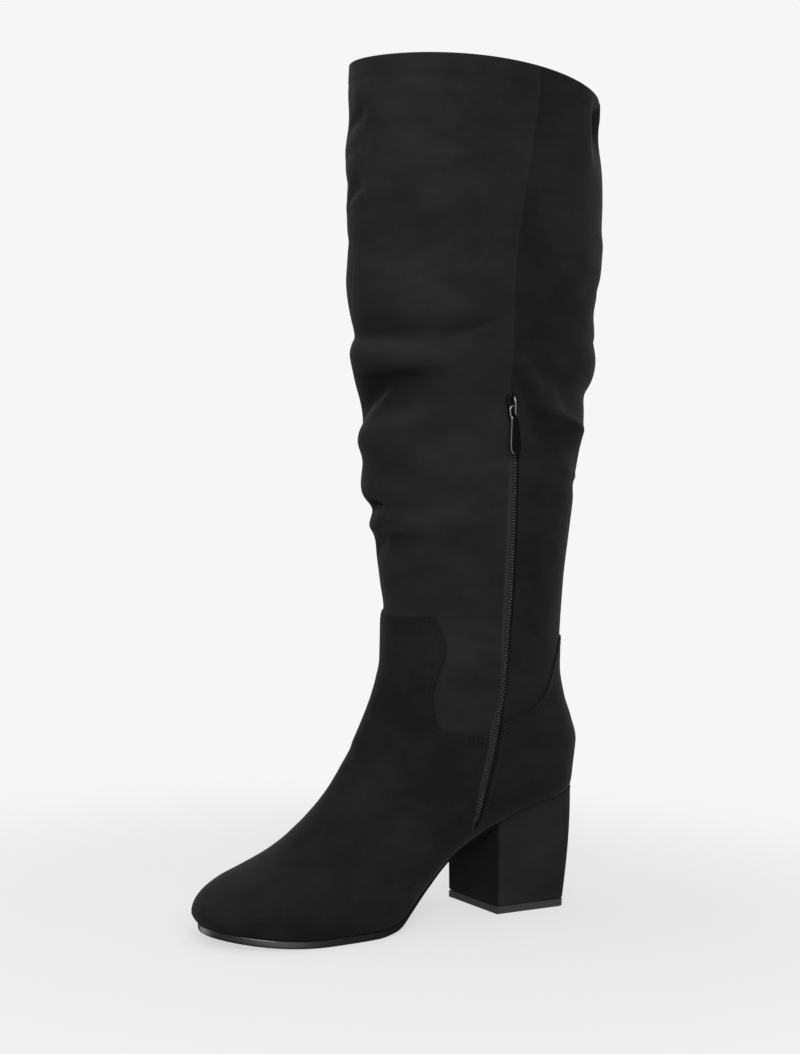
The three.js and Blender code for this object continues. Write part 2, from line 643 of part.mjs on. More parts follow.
// Heel. "s" runs from 0 at the breast to 1 at the back.
const HEEL_CORNER = 0.86; // from here on the heel's base is rounded
const CORNER_FULL = 2.5; // 2 is an ellipse, more is squarer
const HEEL_BLEND = 2.5; // how soon the heel's outline leaves the seat's
const HEEL_STOPS = [0, 0.2, 0.4, 0.58, 0.7, 0.79, 0.86, 0.91, 0.95, 0.98, 0.995, 1];

function baseHalf(s) {
  const turn = clamp((s - HEEL_CORNER) / (1 - HEEL_CORNER), 0, 1);
  return (HEEL_BASE_WIDTH / 2) * (1 - turn ** CORNER_FULL) ** (1 / CORNER_FULL);
}

// A ring of the heel: "t" runs from 0 at the base to 1 at the seat.
function heelRing(t, low) {
  const side = (sign, s) => {
    const along = alongAt(-BREAST) * (1 - s);
    const half = feather(along)[sign > 0 ? 'inner' : 'outer'];
    const x = sign * lerp(baseHalf(s), half, t ** HEEL_BLEND);
    const y = lerp((s - 0.5) * HEEL_BASE_LENGTH, yAt(along), t);
    return new THREE.Vector3(x, y, lerp(low, seamHeight(along) - GAP, t));
  };
  const back = [...HEEL_STOPS].reverse().slice(1);
  return [...HEEL_STOPS.map((s) => side(-1, s)), ...back.map((s) => side(1, s))];
}

const HEEL_LEVELS = [1, 0.9, 0.75, 0.5, 0.25, 0];

function heel() {
  return stackSolid(HEEL_LEVELS.map((t) => heelRing(t, LIFT_THICKNESS)));
}

function topLift() {
  return stackSolid([heelRing(0, LIFT_THICKNESS - GAP), heelRing(0, 0)]);
}

const OVERLAY_ROOT = 0.9 * WALL; // how deep the overlay's solid reaches into the wall it joins

function upper() {
  const overlay = wallSolid(OVERLAY, -OVERLAY_ROOT).intersect(overlayRegion());
  return wallSolid(0, -WALL).add(overlay).subtract(zipRibbon(ZIP_SLOT, 0, 1));
}

// Shares of the zip's length
const END_GAP = GAP / ZIP_LENGTH;
const SLIDER_SHARE = SLIDER_LENGTH / ZIP_LENGTH;

function zipTape() {
  const strip = wallSolid(-TAPE_SINK, -TAPE_SINK - TAPE_THICKNESS);
  return strip.intersect(zipRibbon(ZIP_SLOT - 2 * GAP, END_GAP, 1 - END_GAP));
}

function zipChain() {
  const strip = wallSolid(GAP - TAPE_SINK + CHAIN_HEIGHT, GAP - TAPE_SINK);
  const end = 1 - SLIDER_SHARE - 2 * END_GAP;
  return strip.intersect(zipRibbon(CHAIN_WIDTH, 4 * END_GAP, end));
}

// Frame on the upper's surface at a place in side view: its point, and its normal.
function surfaceFrame(y, z) {
  const flat = (p) => new THREE.Vector3(p.y, p.z, 0);
  const target = new THREE.Vector3(y, z, 0);
  for (let i = 0; i < foldedGrid.length - 1; i += 1) {
    for (let j = 0; j < (AROUND - 1) / 2; j += 1) {
      const [[a, b], [d, c]] = [i, i + 1].map((row) => foldedGrid[row].slice(j, j + 2));
      const hit = [new THREE.Triangle(a, b, c), new THREE.Triangle(a, c, d)].find((t) =>
        new THREE.Triangle(flat(t.a), flat(t.b), flat(t.c)).containsPoint(target));
      if (hit) {
        const weights = new THREE.Vector3();
        new THREE.Triangle(flat(hit.a), flat(hit.b), flat(hit.c)).getBarycoord(target, weights);
        const point = new THREE.Vector3().addScaledVector(hit.a, weights.x)
          .addScaledVector(hit.b, weights.y).addScaledVector(hit.c, weights.z);
        const normal = hit.getNormal(new THREE.Vector3());
        return { point, normal: normal.x > 0 ? normal : normal.negate() };
      }
    }
  }
  throw new Error('no surface there');
}

// Slider and pull tab, in the slider's own frame: X across the zip, Y up along it, Z out of the boot.
const SLIDER_SEAT = 0.5; // plate above the shaft's surface
const BRIDGE_LENGTH = 7;
const BRIDGE_WIRE = 1.2;
const BRIDGE_WIDTH = 1.4;
const BRIDGE_RISE = 2.1; // clear height under the bridge
const ARM_SPREAD = 4.6; // between the middles of the bail's two arms
const ARM_REACH = 5; // pivot to the tab's upper edge
const PIVOT_HEIGHT = SLIDER_SEAT + SLIDER_PLATE + BRIDGE_RISE - GAP - BAIL_WIRE / 2;

function slab(outline, low, high) {
  const g = new THREE.ExtrudeGeometry(new THREE.Shape(outline), { depth: high - low, bevelEnabled: false });
  g.translate(0, 0, low);
  return solid(g);
}

function box(size, middle) {
  const g = new THREE.BoxGeometry(...size);
  g.translate(...middle);
  return solid(g);
}

// Plate of the slider, as shares of half its width and half its length
const SLIDER_OUTLINE = [
  [-0.62, -1], [0.62, -1], [0.7, -0.3], [1, 0.45], [0.8, 0.95], [0.25, 1],
  [0, 0.7], [-0.25, 1], [-0.8, 0.95], [-1, 0.45], [-0.7, -0.3],
];

function zipSlider() {
  const [half, long] = [SLIDER_WIDTH / 2, SLIDER_LENGTH / 2];
  const outline = SLIDER_OUTLINE.map(([x, y]) => new THREE.Vector2(x * half, y * long));
  const plateTop = SLIDER_SEAT + SLIDER_PLATE;
  const plate = slab(outline, SLIDER_SEAT, plateTop);
  const crown = plateTop + BRIDGE_RISE + BRIDGE_WIRE / 2;
  const bridge = box([BRIDGE_WIDTH, BRIDGE_LENGTH, BRIDGE_WIRE], [0, 0, crown]);
  const legHeight = BRIDGE_RISE + BRIDGE_WIRE;
  const legs = [-1, 1].map((end) => {
    const y = (end * (BRIDGE_LENGTH - BRIDGE_WIRE)) / 2;
    return box([BRIDGE_WIDTH, BRIDGE_WIRE, legHeight], [0, y, plateTop + (legHeight - GAP) / 2]);
  });
  return plate.add(bridge).add(legs[0]).add(legs[1]);
}

const BAR_SIDES = 10;
const ARM_DEPTH = 0.9 * BAIL_WIRE;
// Tab, as shares of half its width and of its length
const TAB_OUTLINE = [[-0.95, 0], [-0.75, 0.94], [-0.5, 1], [0.5, 1], [0.75, 0.94], [0.95, 0]];

// The pull hangs from the pivot, which is at its own origin.
function zipPull() {
  const bar = new THREE.CylinderGeometry(BAIL_WIRE / 2, BAIL_WIRE / 2, ARM_SPREAD + BAIL_WIRE, BAR_SIDES);
  bar.rotateZ(Math.PI / 2);
  const arms = [-1, 1].map((side) =>
    box([BAIL_WIRE, ARM_REACH + BAIL_WIRE, ARM_DEPTH], [(side * ARM_SPREAD) / 2, -ARM_REACH / 2, 0]));
  const tabLength = PULL_LENGTH - ARM_REACH;
  const tab = TAB_OUTLINE.map(([x, y]) =>
    new THREE.Vector2((x * PULL_WIDTH) / 2, -ARM_REACH - y * tabLength));
  const plate = slab(tab, -PULL_THICKNESS / 2, PULL_THICKNESS / 2);
  return solid(bar).add(arms[0]).add(arms[1]).add(plate);
}

// Colours, and how each material shines
const SUEDE = { color: 0x1d1d1f, roughness: 0.95, metalness: 0 };
const GLOSS = { color: 0x0e0e10, roughness: 0.25, metalness: 0 };
const RUBBER = { color: 0x35353a, roughness: 0.8, metalness: 0 };
const LINING = { color: 0x2a2a2c, roughness: 0.9, metalness: 0 };
const TAPE = { color: 0x262628, roughness: 0.9, metalness: 0 };
const COIL = { color: 0x333336, roughness: 0.5, metalness: 0 };
const METAL = { color: 0x3a3a3e, roughness: 0.35, metalness: 0.9 };

function piece(name, shape, finish) {
  const mesh = new THREE.Mesh(geometryOf(shape), new THREE.MeshStandardMaterial(finish));
  mesh.name = name;
  return mesh;
}

const group = new THREE.Group();
group.add(piece('upper', upper(), SUEDE));
group.add(piece('outsole', outsole(), GLOSS));
group.add(piece('heel', heel(), SUEDE));
group.add(piece('top_lift', topLift(), RUBBER));
group.add(piece('insole', insole(), LINING));
group.add(piece('zip_tape', zipTape(), TAPE));
group.add(piece('zip_chain', zipChain(), COIL));

// The slider lies at the zip's upper end, turned to the surface there.
const PULL_SWING = 3; // the pull hangs plumb while the shaft leans out
const seat = zipPoint(1 - SLIDER_SHARE / 2);
const { point, normal } = surfaceFrame(seat.x, seat.y);
const lowEnd = zipPoint(1 - SLIDER_SHARE);
const alongZip = point.clone().sub(surfaceFrame(lowEnd.x, lowEnd.y).point).normalize();
const acrossZip = new THREE.Vector3().crossVectors(alongZip, normal).normalize();
const upZip = new THREE.Vector3().crossVectors(normal, acrossZip);
const slide = new THREE.Group();
slide.quaternion.setFromRotationMatrix(new THREE.Matrix4().makeBasis(acrossZip, upZip, normal));
slide.position.copy(point);
slide.add(piece('zip_slider', zipSlider(), METAL));
const pull = piece('zip_pull', zipPull(), METAL);
pull.position.z = PIVOT_HEIGHT;
pull.rotation.x = -rad(PULL_SWING);
slide.add(pull);
group.add(slide);

export default group;
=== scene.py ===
"""Slouch boot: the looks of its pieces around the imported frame, and the studio stage.

Sizes are in millimetres in the boot's own frame: +Z is up, the toe points to -Y, and the inner side,
where the zip is, faces +X. The tables of the form are those of the solids.
"""

import functools
import json
import math

import bmesh
import bpy
import numpy as np
from bpy.props import FloatProperty, FloatVectorProperty, PointerProperty
from bpy.types import Operator, Panel, PropertyGroup
from mathutils import Matrix, Vector
from mathutils.bvhtree import BVHTree
from mathutils.kdtree import KDTree


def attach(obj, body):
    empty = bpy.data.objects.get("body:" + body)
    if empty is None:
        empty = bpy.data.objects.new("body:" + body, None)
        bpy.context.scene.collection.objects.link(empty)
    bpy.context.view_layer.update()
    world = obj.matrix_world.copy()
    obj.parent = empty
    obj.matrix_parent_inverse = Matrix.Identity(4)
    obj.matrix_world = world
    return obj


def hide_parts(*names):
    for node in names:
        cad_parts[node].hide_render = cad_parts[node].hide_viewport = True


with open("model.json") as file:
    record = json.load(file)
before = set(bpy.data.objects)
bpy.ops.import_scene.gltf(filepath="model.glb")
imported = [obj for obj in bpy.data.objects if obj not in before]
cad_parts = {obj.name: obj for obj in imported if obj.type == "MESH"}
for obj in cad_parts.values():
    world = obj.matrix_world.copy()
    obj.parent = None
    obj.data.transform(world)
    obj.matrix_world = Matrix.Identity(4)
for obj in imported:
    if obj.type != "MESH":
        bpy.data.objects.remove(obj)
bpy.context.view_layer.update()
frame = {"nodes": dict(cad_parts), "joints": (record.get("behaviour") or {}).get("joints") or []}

bl_info = {
    "name": "Slouch boot",
    "version": (1, 0, 0),
    "blender": (4, 5, 0),
    "location": "3D View > Sidebar > Boot",
    "description": "Slouch boot with an inner side zip and a covered block heel, and its stage",
    "category": "Object",
}

MM = 0.001

# Foot and sole
BOTTOM_LENGTH = 228
SEAT_OVERHANG = 33
BALL_WIDTH = 79
SEAT_WIDTH = 52
HEEL_HEIGHT = 66
TOE_SPRING = 5.5
TOE_SWING = 10
SOLE_THICKNESS = 4.5
WAIST_THICKNESS = 3
SOLE_LEDGE = 1.4

# Upper
WALL = 2
ANKLE_RISE = 84
ANKLE_HEIGHT = HEEL_HEIGHT + ANKLE_RISE
ANKLE_DEPTH = 106
ANKLE_WIDTH = 77
SHAFT_LENGTH = 299
COLLAR_HEIGHT = ANKLE_HEIGHT + SHAFT_LENGTH
COLLAR_DEPTH = 147
COLLAR_WIDTH = 108
COLLAR_DROP = 14
COLLAR_CROWN = 2.5
SHAFT_FORWARD = 36.5
BACK_INSET = 10.2
OVERLAY = 0.9

# Heel
HEEL_BASE_WIDTH = 46.5
HEEL_BASE_LENGTH = 49
LIFT_THICKNESS = 4.4
BREAST = 26

# Zip
ZIP_FOOT = 0.773 * HEEL_HEIGHT
ZIP_LENGTH = 231
SLIDER_WIDTH = 7
SLIDER_LENGTH = 12
SLIDER_PLATE = 1.2
SLIDER_SEAT = 0.5
BRIDGE_RISE = 2.1
BAIL_WIRE = 1.4
PULL_LENGTH = 25
PULL_WIDTH = 6.4
PULL_THICKNESS = 1.2
GAP = 0.3
PIVOT_HEIGHT = SLIDER_SEAT + SLIDER_PLATE + BRIDGE_RISE - GAP - BAIL_WIRE / 2

# Bottom of the last: place along it, and rise as a share of the heel's height
BOTTOM_ROWS = (
    (0, 1), (0.137, 0.92), (0.25, 0.775), (0.35, 0.575), (0.455, 0.325),
    (0.52, 0.155), (0.57, 0.035), (0.63, 0), (1, 0),
)
# Feather line: place along it, and half widths as shares of the ball's
OUTLINE_ROWS = (
    (0, 0.33, 0.33), (0.24, 0.3, 0.33), (0.36, 0.255, 0.345), (0.47, 0.345, 0.42),
    (0.58, 0.44, 0.5), (0.66, 0.455, 0.525), (0.74, 0.445, 0.53), (1, 0.4, 0.48),
)
HEEL_ROUND = 0.115
SEAT_FULL = 2.3
TOE_ROUND = 0.27
SPRING_START = 0.76
SEAT_SHARE = 0.33
SWING_ENDS = (0.4, 1.05)
WAIST_ENDS = (0.2, 0.4)

# Shaft: height, fill, spread, forward, tilt
SHAFT_ROWS = (
    (1, 1, 1, 1, 1),
    (0.94, 1.06, 0.95, 0.985, 0.8),
    (0.79, 1.14, 0.82, 0.935, 0.35),
    (0.65, 1.1, 0.7, 0.92, 0),
    (0.505, 0.95, 0.555, 0.9, 0),
    (0.4, 0.745, 0.46, 0.925, 0),
    (0.3, 0.58, 0.36, 0.935, 0),
    (0.2, 0.29, 0.26, 0.88, 0),
    (0.1, 0.06, 0.14, 0.84, 0),
)
# Heel: front, front rise, inset, back rise, width
HEEL_ROWS = (
    (0.51, 1, 1, 1, 1),
    (0.511, 0.918, 1.04, 0.81, 1),
    (0.523, 0.848, 0.657, 0.607, 0.98),
    (0.539, 0.782, 0.118, 0.458, 0.96),
    (0.557, 0.723, -0.304, 0.298, 0.945),
    (0.575, 0.667, -0.255, 0.143, 0.935),
    (0.589, 0.625, 0, 0, 0.93),
)
# Foot: front, front rise, bottom, inner, outer, wide, top, tuck
FOOT_ROWS = (
    (0.594, 0.6025, 0.012, 0.454, 0.454, 0.36, 2, 84),
    (0.603, 0.5765, 0.045, 0.452, 0.452, 0.35, 2, 76),
    (0.616, 0.5435, 0.1, 0.447, 0.45, 0.34, 2, 68),
    (0.631, 0.5055, 0.165, 0.441, 0.447, 0.33, 1.98, 64),
    (0.65, 0.4605, 0.245, 0.434, 0.446, 0.33, 1.95, 62),
    (0.672, 0.4155, 0.335, 0.429, 0.451, 0.33, 1.95, 62),
    (0.699, 0.3675, 0.43, 0.441, 0.474, 0.33, 1.95, 62),
    (0.733, 0.3165, 0.53, 0.469, 0.521, 0.33, 2, 62),
    (0.773, 0.2685, 0.63, 0.499, 0.564, 0.33, 2.05, 62),
    (0.817, 0.2305, 0.715, 0.501, 0.571, 0.36, 2.1, 62),
    (0.862, 0.2025, 0.785, 0.489, 0.564, 0.38, 2.15, 62),
    (0.906, 0.1805, 0.845, 0.479, 0.554, 0.4, 2.2, 64),
    (0.945, 0.1575, 0.895, 0.469, 0.544, 0.4, 2.2, 66),
    (0.976, 0.1305, 0.93, 0.464, 0.544, 0.38, 2.15, 68),
    (0.999, 0.0985, 0.957, 0.464, 0.544, 0.32, 2.1, 70),
    (1.009, 0.0735, 0.976, 0.464, 0.544, 0.25, 2, 72),
    (1.009, 0.0585, 0.99, 0.464, 0.544, 0.2, 1.9, 74),
    (1, 0, 1, 0.464, 0.544, 0.2, 1.9, 74),
)
SEAT_WIDE = 0.37

# Folds of the shaft, each a ridge (+) or trough (-). Height is a share of the shaft's length above the
# ankle, round the angle from the front towards the inner side, reach half the angle that it covers.
# Depth, how far it fades up and down, and how much it climbs over its reach are in millimetres.
# Sharp is the power of its fade: 2 is a soft roll, about 1 a crease.
FOLDS = (
    (0.545, 28, 44, -1.6, 9, 5, 3, 2),
    (0.506, 16, 38, 2.4, 7, 9, 0, 2),
    (0.435, 10, 34, -4.2, 7, 9, 9, 2),
    (0.375, 18, 42, 2.4, 7, 12, 11, 2),
    (0.33, -35, 45, -2.6, 9, 10, -8, 2),
    (0.93, -8, 26, -2.2, 8, 12, -8, 2),
    (0.86, -25, 40, 1.2, 12, 14, -6, 2),
    (0.66, -70, 55, 2, 10, 14, -10, 2),
    (0.58, -80, 55, -2.8, 11, 11, -12, 2),
    (0.47, -85, 55, 2.2, 10, 12, 8, 2),
    (0.27, 5, 50, 1.4, 9, 8, 5, 2),
    (0.232, -18, 30, -2.8, 6, 5, 3, 2),
    (0.205, 8, 52, 1.6, 5, 6, 4, 2),
    (0.18, 4, 50, -1.6, 4, 8, -3, 2),
    (0.06, 0, 60, -1.4, 10, 6, 3, 2),
    (0.47, 97, 13, 2.4, 7, 7, -13, 2),
    (0.4, 124, 24, 2.4, 8, 6, -8, 2),
    (0.35, 126, 26, -2.2, 6, 10, -8, 2),
    (0.69, 150, 45, 1, 12, 12, 5, 2),
    (0.6, 160, 45, -1.8, 9, 10, 4, 2),
    (0.5, 160, 40, 1.6, 9, 12, -6, 2),
    (0.44, 165, 36, -2.2, 6, 8, -5, 2),
    (0.935, 146, 16, -3, 12, 15, 3, 2),
    (0.29, 140, 28, -1.2, 6, 6, -3, 2),
    (0.24, -110, 60, 2, 9, 10, -6, 2),
    (0.16, -100, 55, -2.4, 8, 8, 6, 2),
)
# Finer folds that the solids leave out
FINE_FOLDS = (
    (0.536, 12, 36, -2.3, 8, 1.7, 0, 1.5),
    (0.551, 62, 14, -2.8, 5, 1.8, 5.5, 1.4),
    (0.512, 16, 34, 1.1, 6, 8, 0, 2),
    (0.469, 20, 31, -4.4, 2.8, 8, 1, 1.6),
    (0.43, -7, 27, -5.4, 10, 10, 9, 2),
    (0.443, 26, 16, 1.2, 2.6, 2.6, 5, 2),
    (0.41, 38, 26, 0.9, 5, 9, 6, 2),
    (0.24, -3, 9, -3.2, 2.6, 2, 0, 1.6),
    (0.223, 4, 8, 1.5, 2, 2, 0, 2),
    (0.206, 8, 15, -1.6, 1.6, 2, 2, 1.5),
    (0.168, -8, 11, -2, 4, 5, 2, 2),
    (0.148, 40, 17, 0.9, 6, 6, -3, 2),
    (0.192, 56, 15, -1.1, 7, 8, -4, 2),
    (0.078, 66, 18, 1, 8, 6, -3, 2),
    (0.11, 18, 22, -0.9, 4, 5, 4, 1.8),
    (0.474, 92.5, 9, 2.6, 6, 5, -12, 2),
    (0.402, 119, 20, 2.6, 2.8, 2.3, -6.3, 1.8),
    (0.425, 97, 9, -3.6, 5, 9, -8, 1.8),
    (0.37, 105, 11, -1.8, 7, 7, -3, 2),
    (0.303, 140, 18, 1.3, 1.2, 3, -2, 1.4),
    (0.945, 139, 9, -5.2, 9, 13, 2, 1.7),
    (0.9, 120, 12, 0.8, 24, 20, 6, 2),
    (0.97, 6, 12, 0.9, 6, 8, 4, 2),
    (0.915, -5, 10, -2, 4, 5, 2, 1.7),
    (0.79, -3, 9, -1.6, 8, 5, 4, 1.8),
    (0.86, -6, 16, -0.9, 3, 4, 3, 1.5),
    (0.8, -10, 18, -0.9, 4, 4, -3, 1.5),
    (0.77, -4, 16, 0.9, 4, 4, 2, 2),
    (0.7, -12, 22, -0.8, 4, 5, -4, 1.6),
    (0.64, 150, 30, -0.8, 4, 5, 3, 1.6),
    (0.72, 158, 22, 0.6, 5, 5, -3, 2),
    (0.54, 158, 24, -0.9, 3, 4, -4, 1.5),
    (0.84, 35, 40, 1, 20, 24, -16, 2),
    (0.7, 50, 34, -0.9, 18, 20, -12, 2),
    (0.62, 30, 30, 0.8, 10, 12, 8, 2),
    (0.34, 40, 34, 0.8, 14, 16, 8, 2),
    (0.29, 30, 34, -0.8, 8, 10, -8, 2),
    (0.6, 115, 24, -0.8, 16, 16, 14, 2),
    (0.75, 112, 20, 0.8, 18, 18, -12, 2),
)
FOLD_END = 1.6
ZIP_ROUND = 84
ZIP_STIFF = 15
SEAM_STIFF = 7
ZIP_END = ZIP_FOOT + ZIP_LENGTH
ANKLE_FADE = (-8, 14)
HEM_FADE = (6, 40)
FINE_HEM_FADE = (3, 14)

# Top edge of vamp and counter in side view: place along the bottom, share of the ankle's height
OVERLAY_EDGE = (
    (0.62, 1.08), (0.5, 1.085), (0.462, 1.095), (0.445, 1.05), (0.434, 0.98), (0.446, 0.89),
    (0.457, 0.8), (0.453, 0.738), (0.438, 0.694), (0.37, 0.677), (0.318, 0.656), (0.281, 0.726),
    (0.226, 0.75), (0.19, 0.783), (0.161, 0.823), (0.135, 0.891), (0.107, 0.96), (0.09, 1),
    (-0.2, 1.02),
)
# Line of the zip: share of its length, and share of how far the shaft lies forward
ZIP_ROWS = (
    (0, 1.33), (0.08, 1.24), (0.18, 1.085), (0.34, 0.98), (0.48, 0.967), (0.62, 0.985),
    (0.8, 1.02), (1, 1.12),
)
# Opening of the zip: share of its length, and half the width that shows between the edges
OPENING_ROWS = (
    (0, 0.6), (0.02, 1.7), (0.045, 2.2), (0.07, 2.8), (0.12, 3.1), (0.22, 3.2), (0.265, 2.5),
    (0.3, 1.8), (0.325, 1.9), (0.375, 2.2), (0.425, 2.7), (0.5, 3.2), (0.6, 3.3), (0.85, 2.9),
    (0.95, 2.8), (0.985, 2.2), (1, 0.6),
)
OPENING_SHIFT = 0.8
# Seams of the shaft: the inner and the back one in side view, the front one seen from the front
INNER_SEAM = (
    (-40.9, 281), (-41.3, 315), (-41.8, 346), (-40.5, 372), (-38, 393), (-35.7, 414), (-33.8, 434),
    (-33, 452),
)
FRONT_SEAM = (
    (11.6, 452), (9.5, 431), (7, 401), (6, 384), (3, 370), (-2, 355), (-10, 320), (-17, 280),
    (-22, 230), (-26, 185), (-28, 155),
)
HEM_DEPTH = 9
HEM_STEP = 0.2

# Rows and columns of the fine form
SHAFT_STEPS = 236
FOOT_STEPS = 129


def curve_through(knots, values):
    """Smooth curve through a short table: a monotone cubic, as in the solids."""
    knots = np.asarray(knots, float)
    values = np.asarray(values, float)
    width = np.diff(knots)
    slope = np.diff(values) / width
    tangent = np.zeros(len(knots))
    tangent[0], tangent[-1] = slope[0], slope[-1]
    product = slope[:-1] * slope[1:]
    total = np.where(product > 0, slope[:-1] + slope[1:], 1)
    tangent[1:-1] = np.where(product > 0, 2 * product / total, 0)

    def curve(x):
        x = np.asarray(x, float)
        i = np.clip(np.searchsorted(knots, x, side="right") - 1, 0, len(knots) - 2)
        u = np.clip((x - knots[i]) / width[i], 0, 1)
        u2, u3 = u * u, u * u * u
        start = (2 * u3 - 3 * u2 + 1) * values[i] + (u3 - 2 * u2 + u) * width[i] * tangent[i]
        return start + (3 * u2 - 2 * u3) * values[i + 1] + (u3 - u2) * width[i] * tangent[i + 1]

    return curve


def columns(rows):
    return list(zip(*rows))


def smooth(x, low, high):
    u = np.clip((x - low) / (high - low), 0, 1)
    return u * u * (3 - 2 * u)


def mix(a, b, share):
    return a + (b - a) * share


def unit(vectors):
    """Directions of vectors."""
    return vectors / np.maximum(np.linalg.norm(vectors, axis=-1, keepdims=True), 1e-9)


bottom_rise = curve_through(*columns(BOTTOM_ROWS))
inner_share = curve_through(*columns(OUTLINE_ROWS)[:2])
outer_share = curve_through(columns(OUTLINE_ROWS)[0], columns(OUTLINE_ROWS)[2])


def y_at(along):
    return SEAT_OVERHANG - along * BOTTOM_LENGTH


def along_at(y):
    return (SEAT_OVERHANG - y) / BOTTOM_LENGTH


def toe_round(along):
    return np.sqrt(1 - np.clip((along - 1 + TOE_ROUND) / TOE_ROUND, 0, 1) ** 2)


def heel_round(along):
    return (1 - np.clip(1 - along / HEEL_ROUND, 0, 1) ** SEAT_FULL) ** (1 / SEAT_FULL)


def swing(along):
    return TOE_SWING * smooth(along, *SWING_ENDS)


def seam_height(along):
    """Height of the seam between upper and sole."""
    spring = TOE_SPRING * np.clip((along - SPRING_START) / (1 - SPRING_START), 0, 1.1) ** 2
    return SOLE_THICKNESS + bottom_rise(along) * (HEEL_HEIGHT - SOLE_THICKNESS) + spring


def feather(along):
    """Inner and outer half width of the feather line."""
    width = mix(SEAT_WIDTH / (2 * SEAT_SHARE), BALL_WIDTH, smooth(along, *WAIST_ENDS))
    ends = toe_round(along) * heel_round(along)
    return inner_share(along) * width * ends, outer_share(along) * width * ends


def shaft_section(height, fill, spread, forward, tilt):
    lift = tilt * COLLAR_DROP / 2
    z = ANKLE_HEIGHT + height * SHAFT_LENGTH
    depth = mix(ANKLE_DEPTH, COLLAR_DEPTH, fill) / 2
    width = mix(ANKLE_WIDTH, COLLAR_WIDTH, spread) / 2
    middle = -forward * SHAFT_FORWARD
    return {
        "fy": middle - depth, "fz": z + lift, "by": middle + depth, "bz": z - lift, "bottom": 0,
        "inner": width, "outer": width, "wide": 0.5, "top": 2, "tuck": 90,
        "crown": tilt * COLLAR_CROWN,
    }


def front_point(front, rise):
    z = SOLE_THICKNESS + rise * (ANKLE_HEIGHT - SOLE_THICKNESS)
    return {"fy": y_at(front), "fz": max(z, float(seam_height(front)))}


def heel_section(front, front_rise, inset, back_rise, width):
    half = width * ANKLE_WIDTH / 2
    return {
        **front_point(front, front_rise), "by": SEAT_OVERHANG - inset * BACK_INSET,
        "bz": HEEL_HEIGHT + back_rise * ANKLE_RISE, "bottom": 0, "inner": half, "outer": half,
        "wide": mix(SEAT_WIDE, 0.5, back_rise), "top": 2, "tuck": 90, "crown": 0,
    }


def foot_section(front, front_rise, bottom, inner, outer, wide, top, tuck):
    return {
        **front_point(front, front_rise), "by": y_at(bottom), "bz": float(seam_height(bottom)),
        "bottom": bottom, "inner": inner * BALL_WIDTH, "outer": outer * BALL_WIDTH, "wide": wide,
        "top": top, "tuck": tuck, "crown": 0,
    }


CONTROL = (
    [shaft_section(*row) for row in SHAFT_ROWS]
    + [heel_section(*row) for row in HEEL_ROWS]
    + [foot_section(*row) for row in FOOT_ROWS]
)
SEAT_BACK = len(SHAFT_ROWS) + len(HEEL_ROWS) - 1
KNOTS = [0.0]
for above, below in zip(CONTROL, CONTROL[1:]):
    front_path = math.hypot(below["fy"] - above["fy"], below["fz"] - above["fz"])
    back_path = math.hypot(below["by"] - above["by"], below["bz"] - above["bz"])
    KNOTS.append(KNOTS[-1] + (front_path + back_path) / 2)
COLUMN = {key: curve_through(KNOTS, [c[key] for c in CONTROL]) for key in CONTROL[0]}
# Rows lie close together where the seat starts, and columns where the photo shows the boot
SEAT_CLOSE = 0.1
foot_steps = np.hypot(np.linspace(0, 1, FOOT_STEPS), SEAT_CLOSE) - SEAT_CLOSE
ROWS = np.concatenate([
    np.linspace(0, KNOTS[SEAT_BACK], SHAFT_STEPS),
    mix(KNOTS[SEAT_BACK], KNOTS[-1], foot_steps / foot_steps[-1])[1:],
])
FIRST_OPEN = SHAFT_STEPS - 1
ROUNDS = np.concatenate([
    np.linspace(180, 152, 15)[:-1], np.linspace(152, -40, 193)[:-1], np.linspace(-40, -180, 56),
])
AROUND = len(ROUNDS)


def form_points(at, rounds):
    """Outer form of the upper: rows along it and columns round it, from the inner feather at 180
    degrees over the front at 0 to the outer feather at -180."""
    c = {key: curve(at)[:, None] for key, curve in COLUMN.items()}
    is_open = (at > KNOTS[SEAT_BACK])[:, None]
    along = np.where(is_open, c["bottom"], 0)
    inner, outer = feather(along)
    turned = rounds[None, :]
    edge = np.where(is_open, np.where(turned > 0, inner, outer), 0)
    ends = np.where(is_open, toe_round(along), 1)
    half = np.maximum(np.where(turned > 0, c["inner"], c["outer"]) * ends, edge)
    turn = np.radians(np.abs(turned))
    power = 2 / c["top"]
    front_across = half * np.sin(turn).clip(0) ** power
    front_up = c["wide"] + (1 - c["wide"]) * np.cos(turn).clip(0) ** power
    end = np.radians(c["tuck"])
    low = (turn / (math.pi / 2) - 1) * end
    turned_in = (np.cos(low) - np.cos(end)) / (1 - np.cos(end))
    back_across = edge + (half - edge) * turned_in
    back_up = c["wide"] * (1 - np.sin(low) / np.sin(end))
    in_front = turn <= math.pi / 2
    across = np.where(in_front, front_across, back_across)
    up = np.where(in_front, front_up, back_up)
    seam = np.where(is_open, seam_height(along), c["bz"])
    sideways = across / np.maximum(half, 1e-6)
    x = np.where(is_open, swing(along), 0) + np.sign(turned) * across
    y = mix(c["by"], c["fy"], up)
    z = mix(seam, c["fz"], up) + c["crown"] * (2 * sideways**2 - 1)
    return np.stack([x, y, z], axis=2)


def fold_depth(z, rounds, folds):
    """How far the folds move the form out."""
    total = np.zeros_like(z)
    for height, place, reach, depth, fade_up, fade_down, slant, sharp in folds:
        turn = (rounds - place + 540) % 360 - 180
        side = np.clip(turn / reach, -FOLD_END, FOLD_END)[None, :]
        away = z - ANKLE_HEIGHT - height * SHAFT_LENGTH - side * slant
        fade = np.abs(away) / np.where(away > 0, fade_up, fade_down)
        total += depth * np.exp(-(fade**sharp) - side**4)
    return total


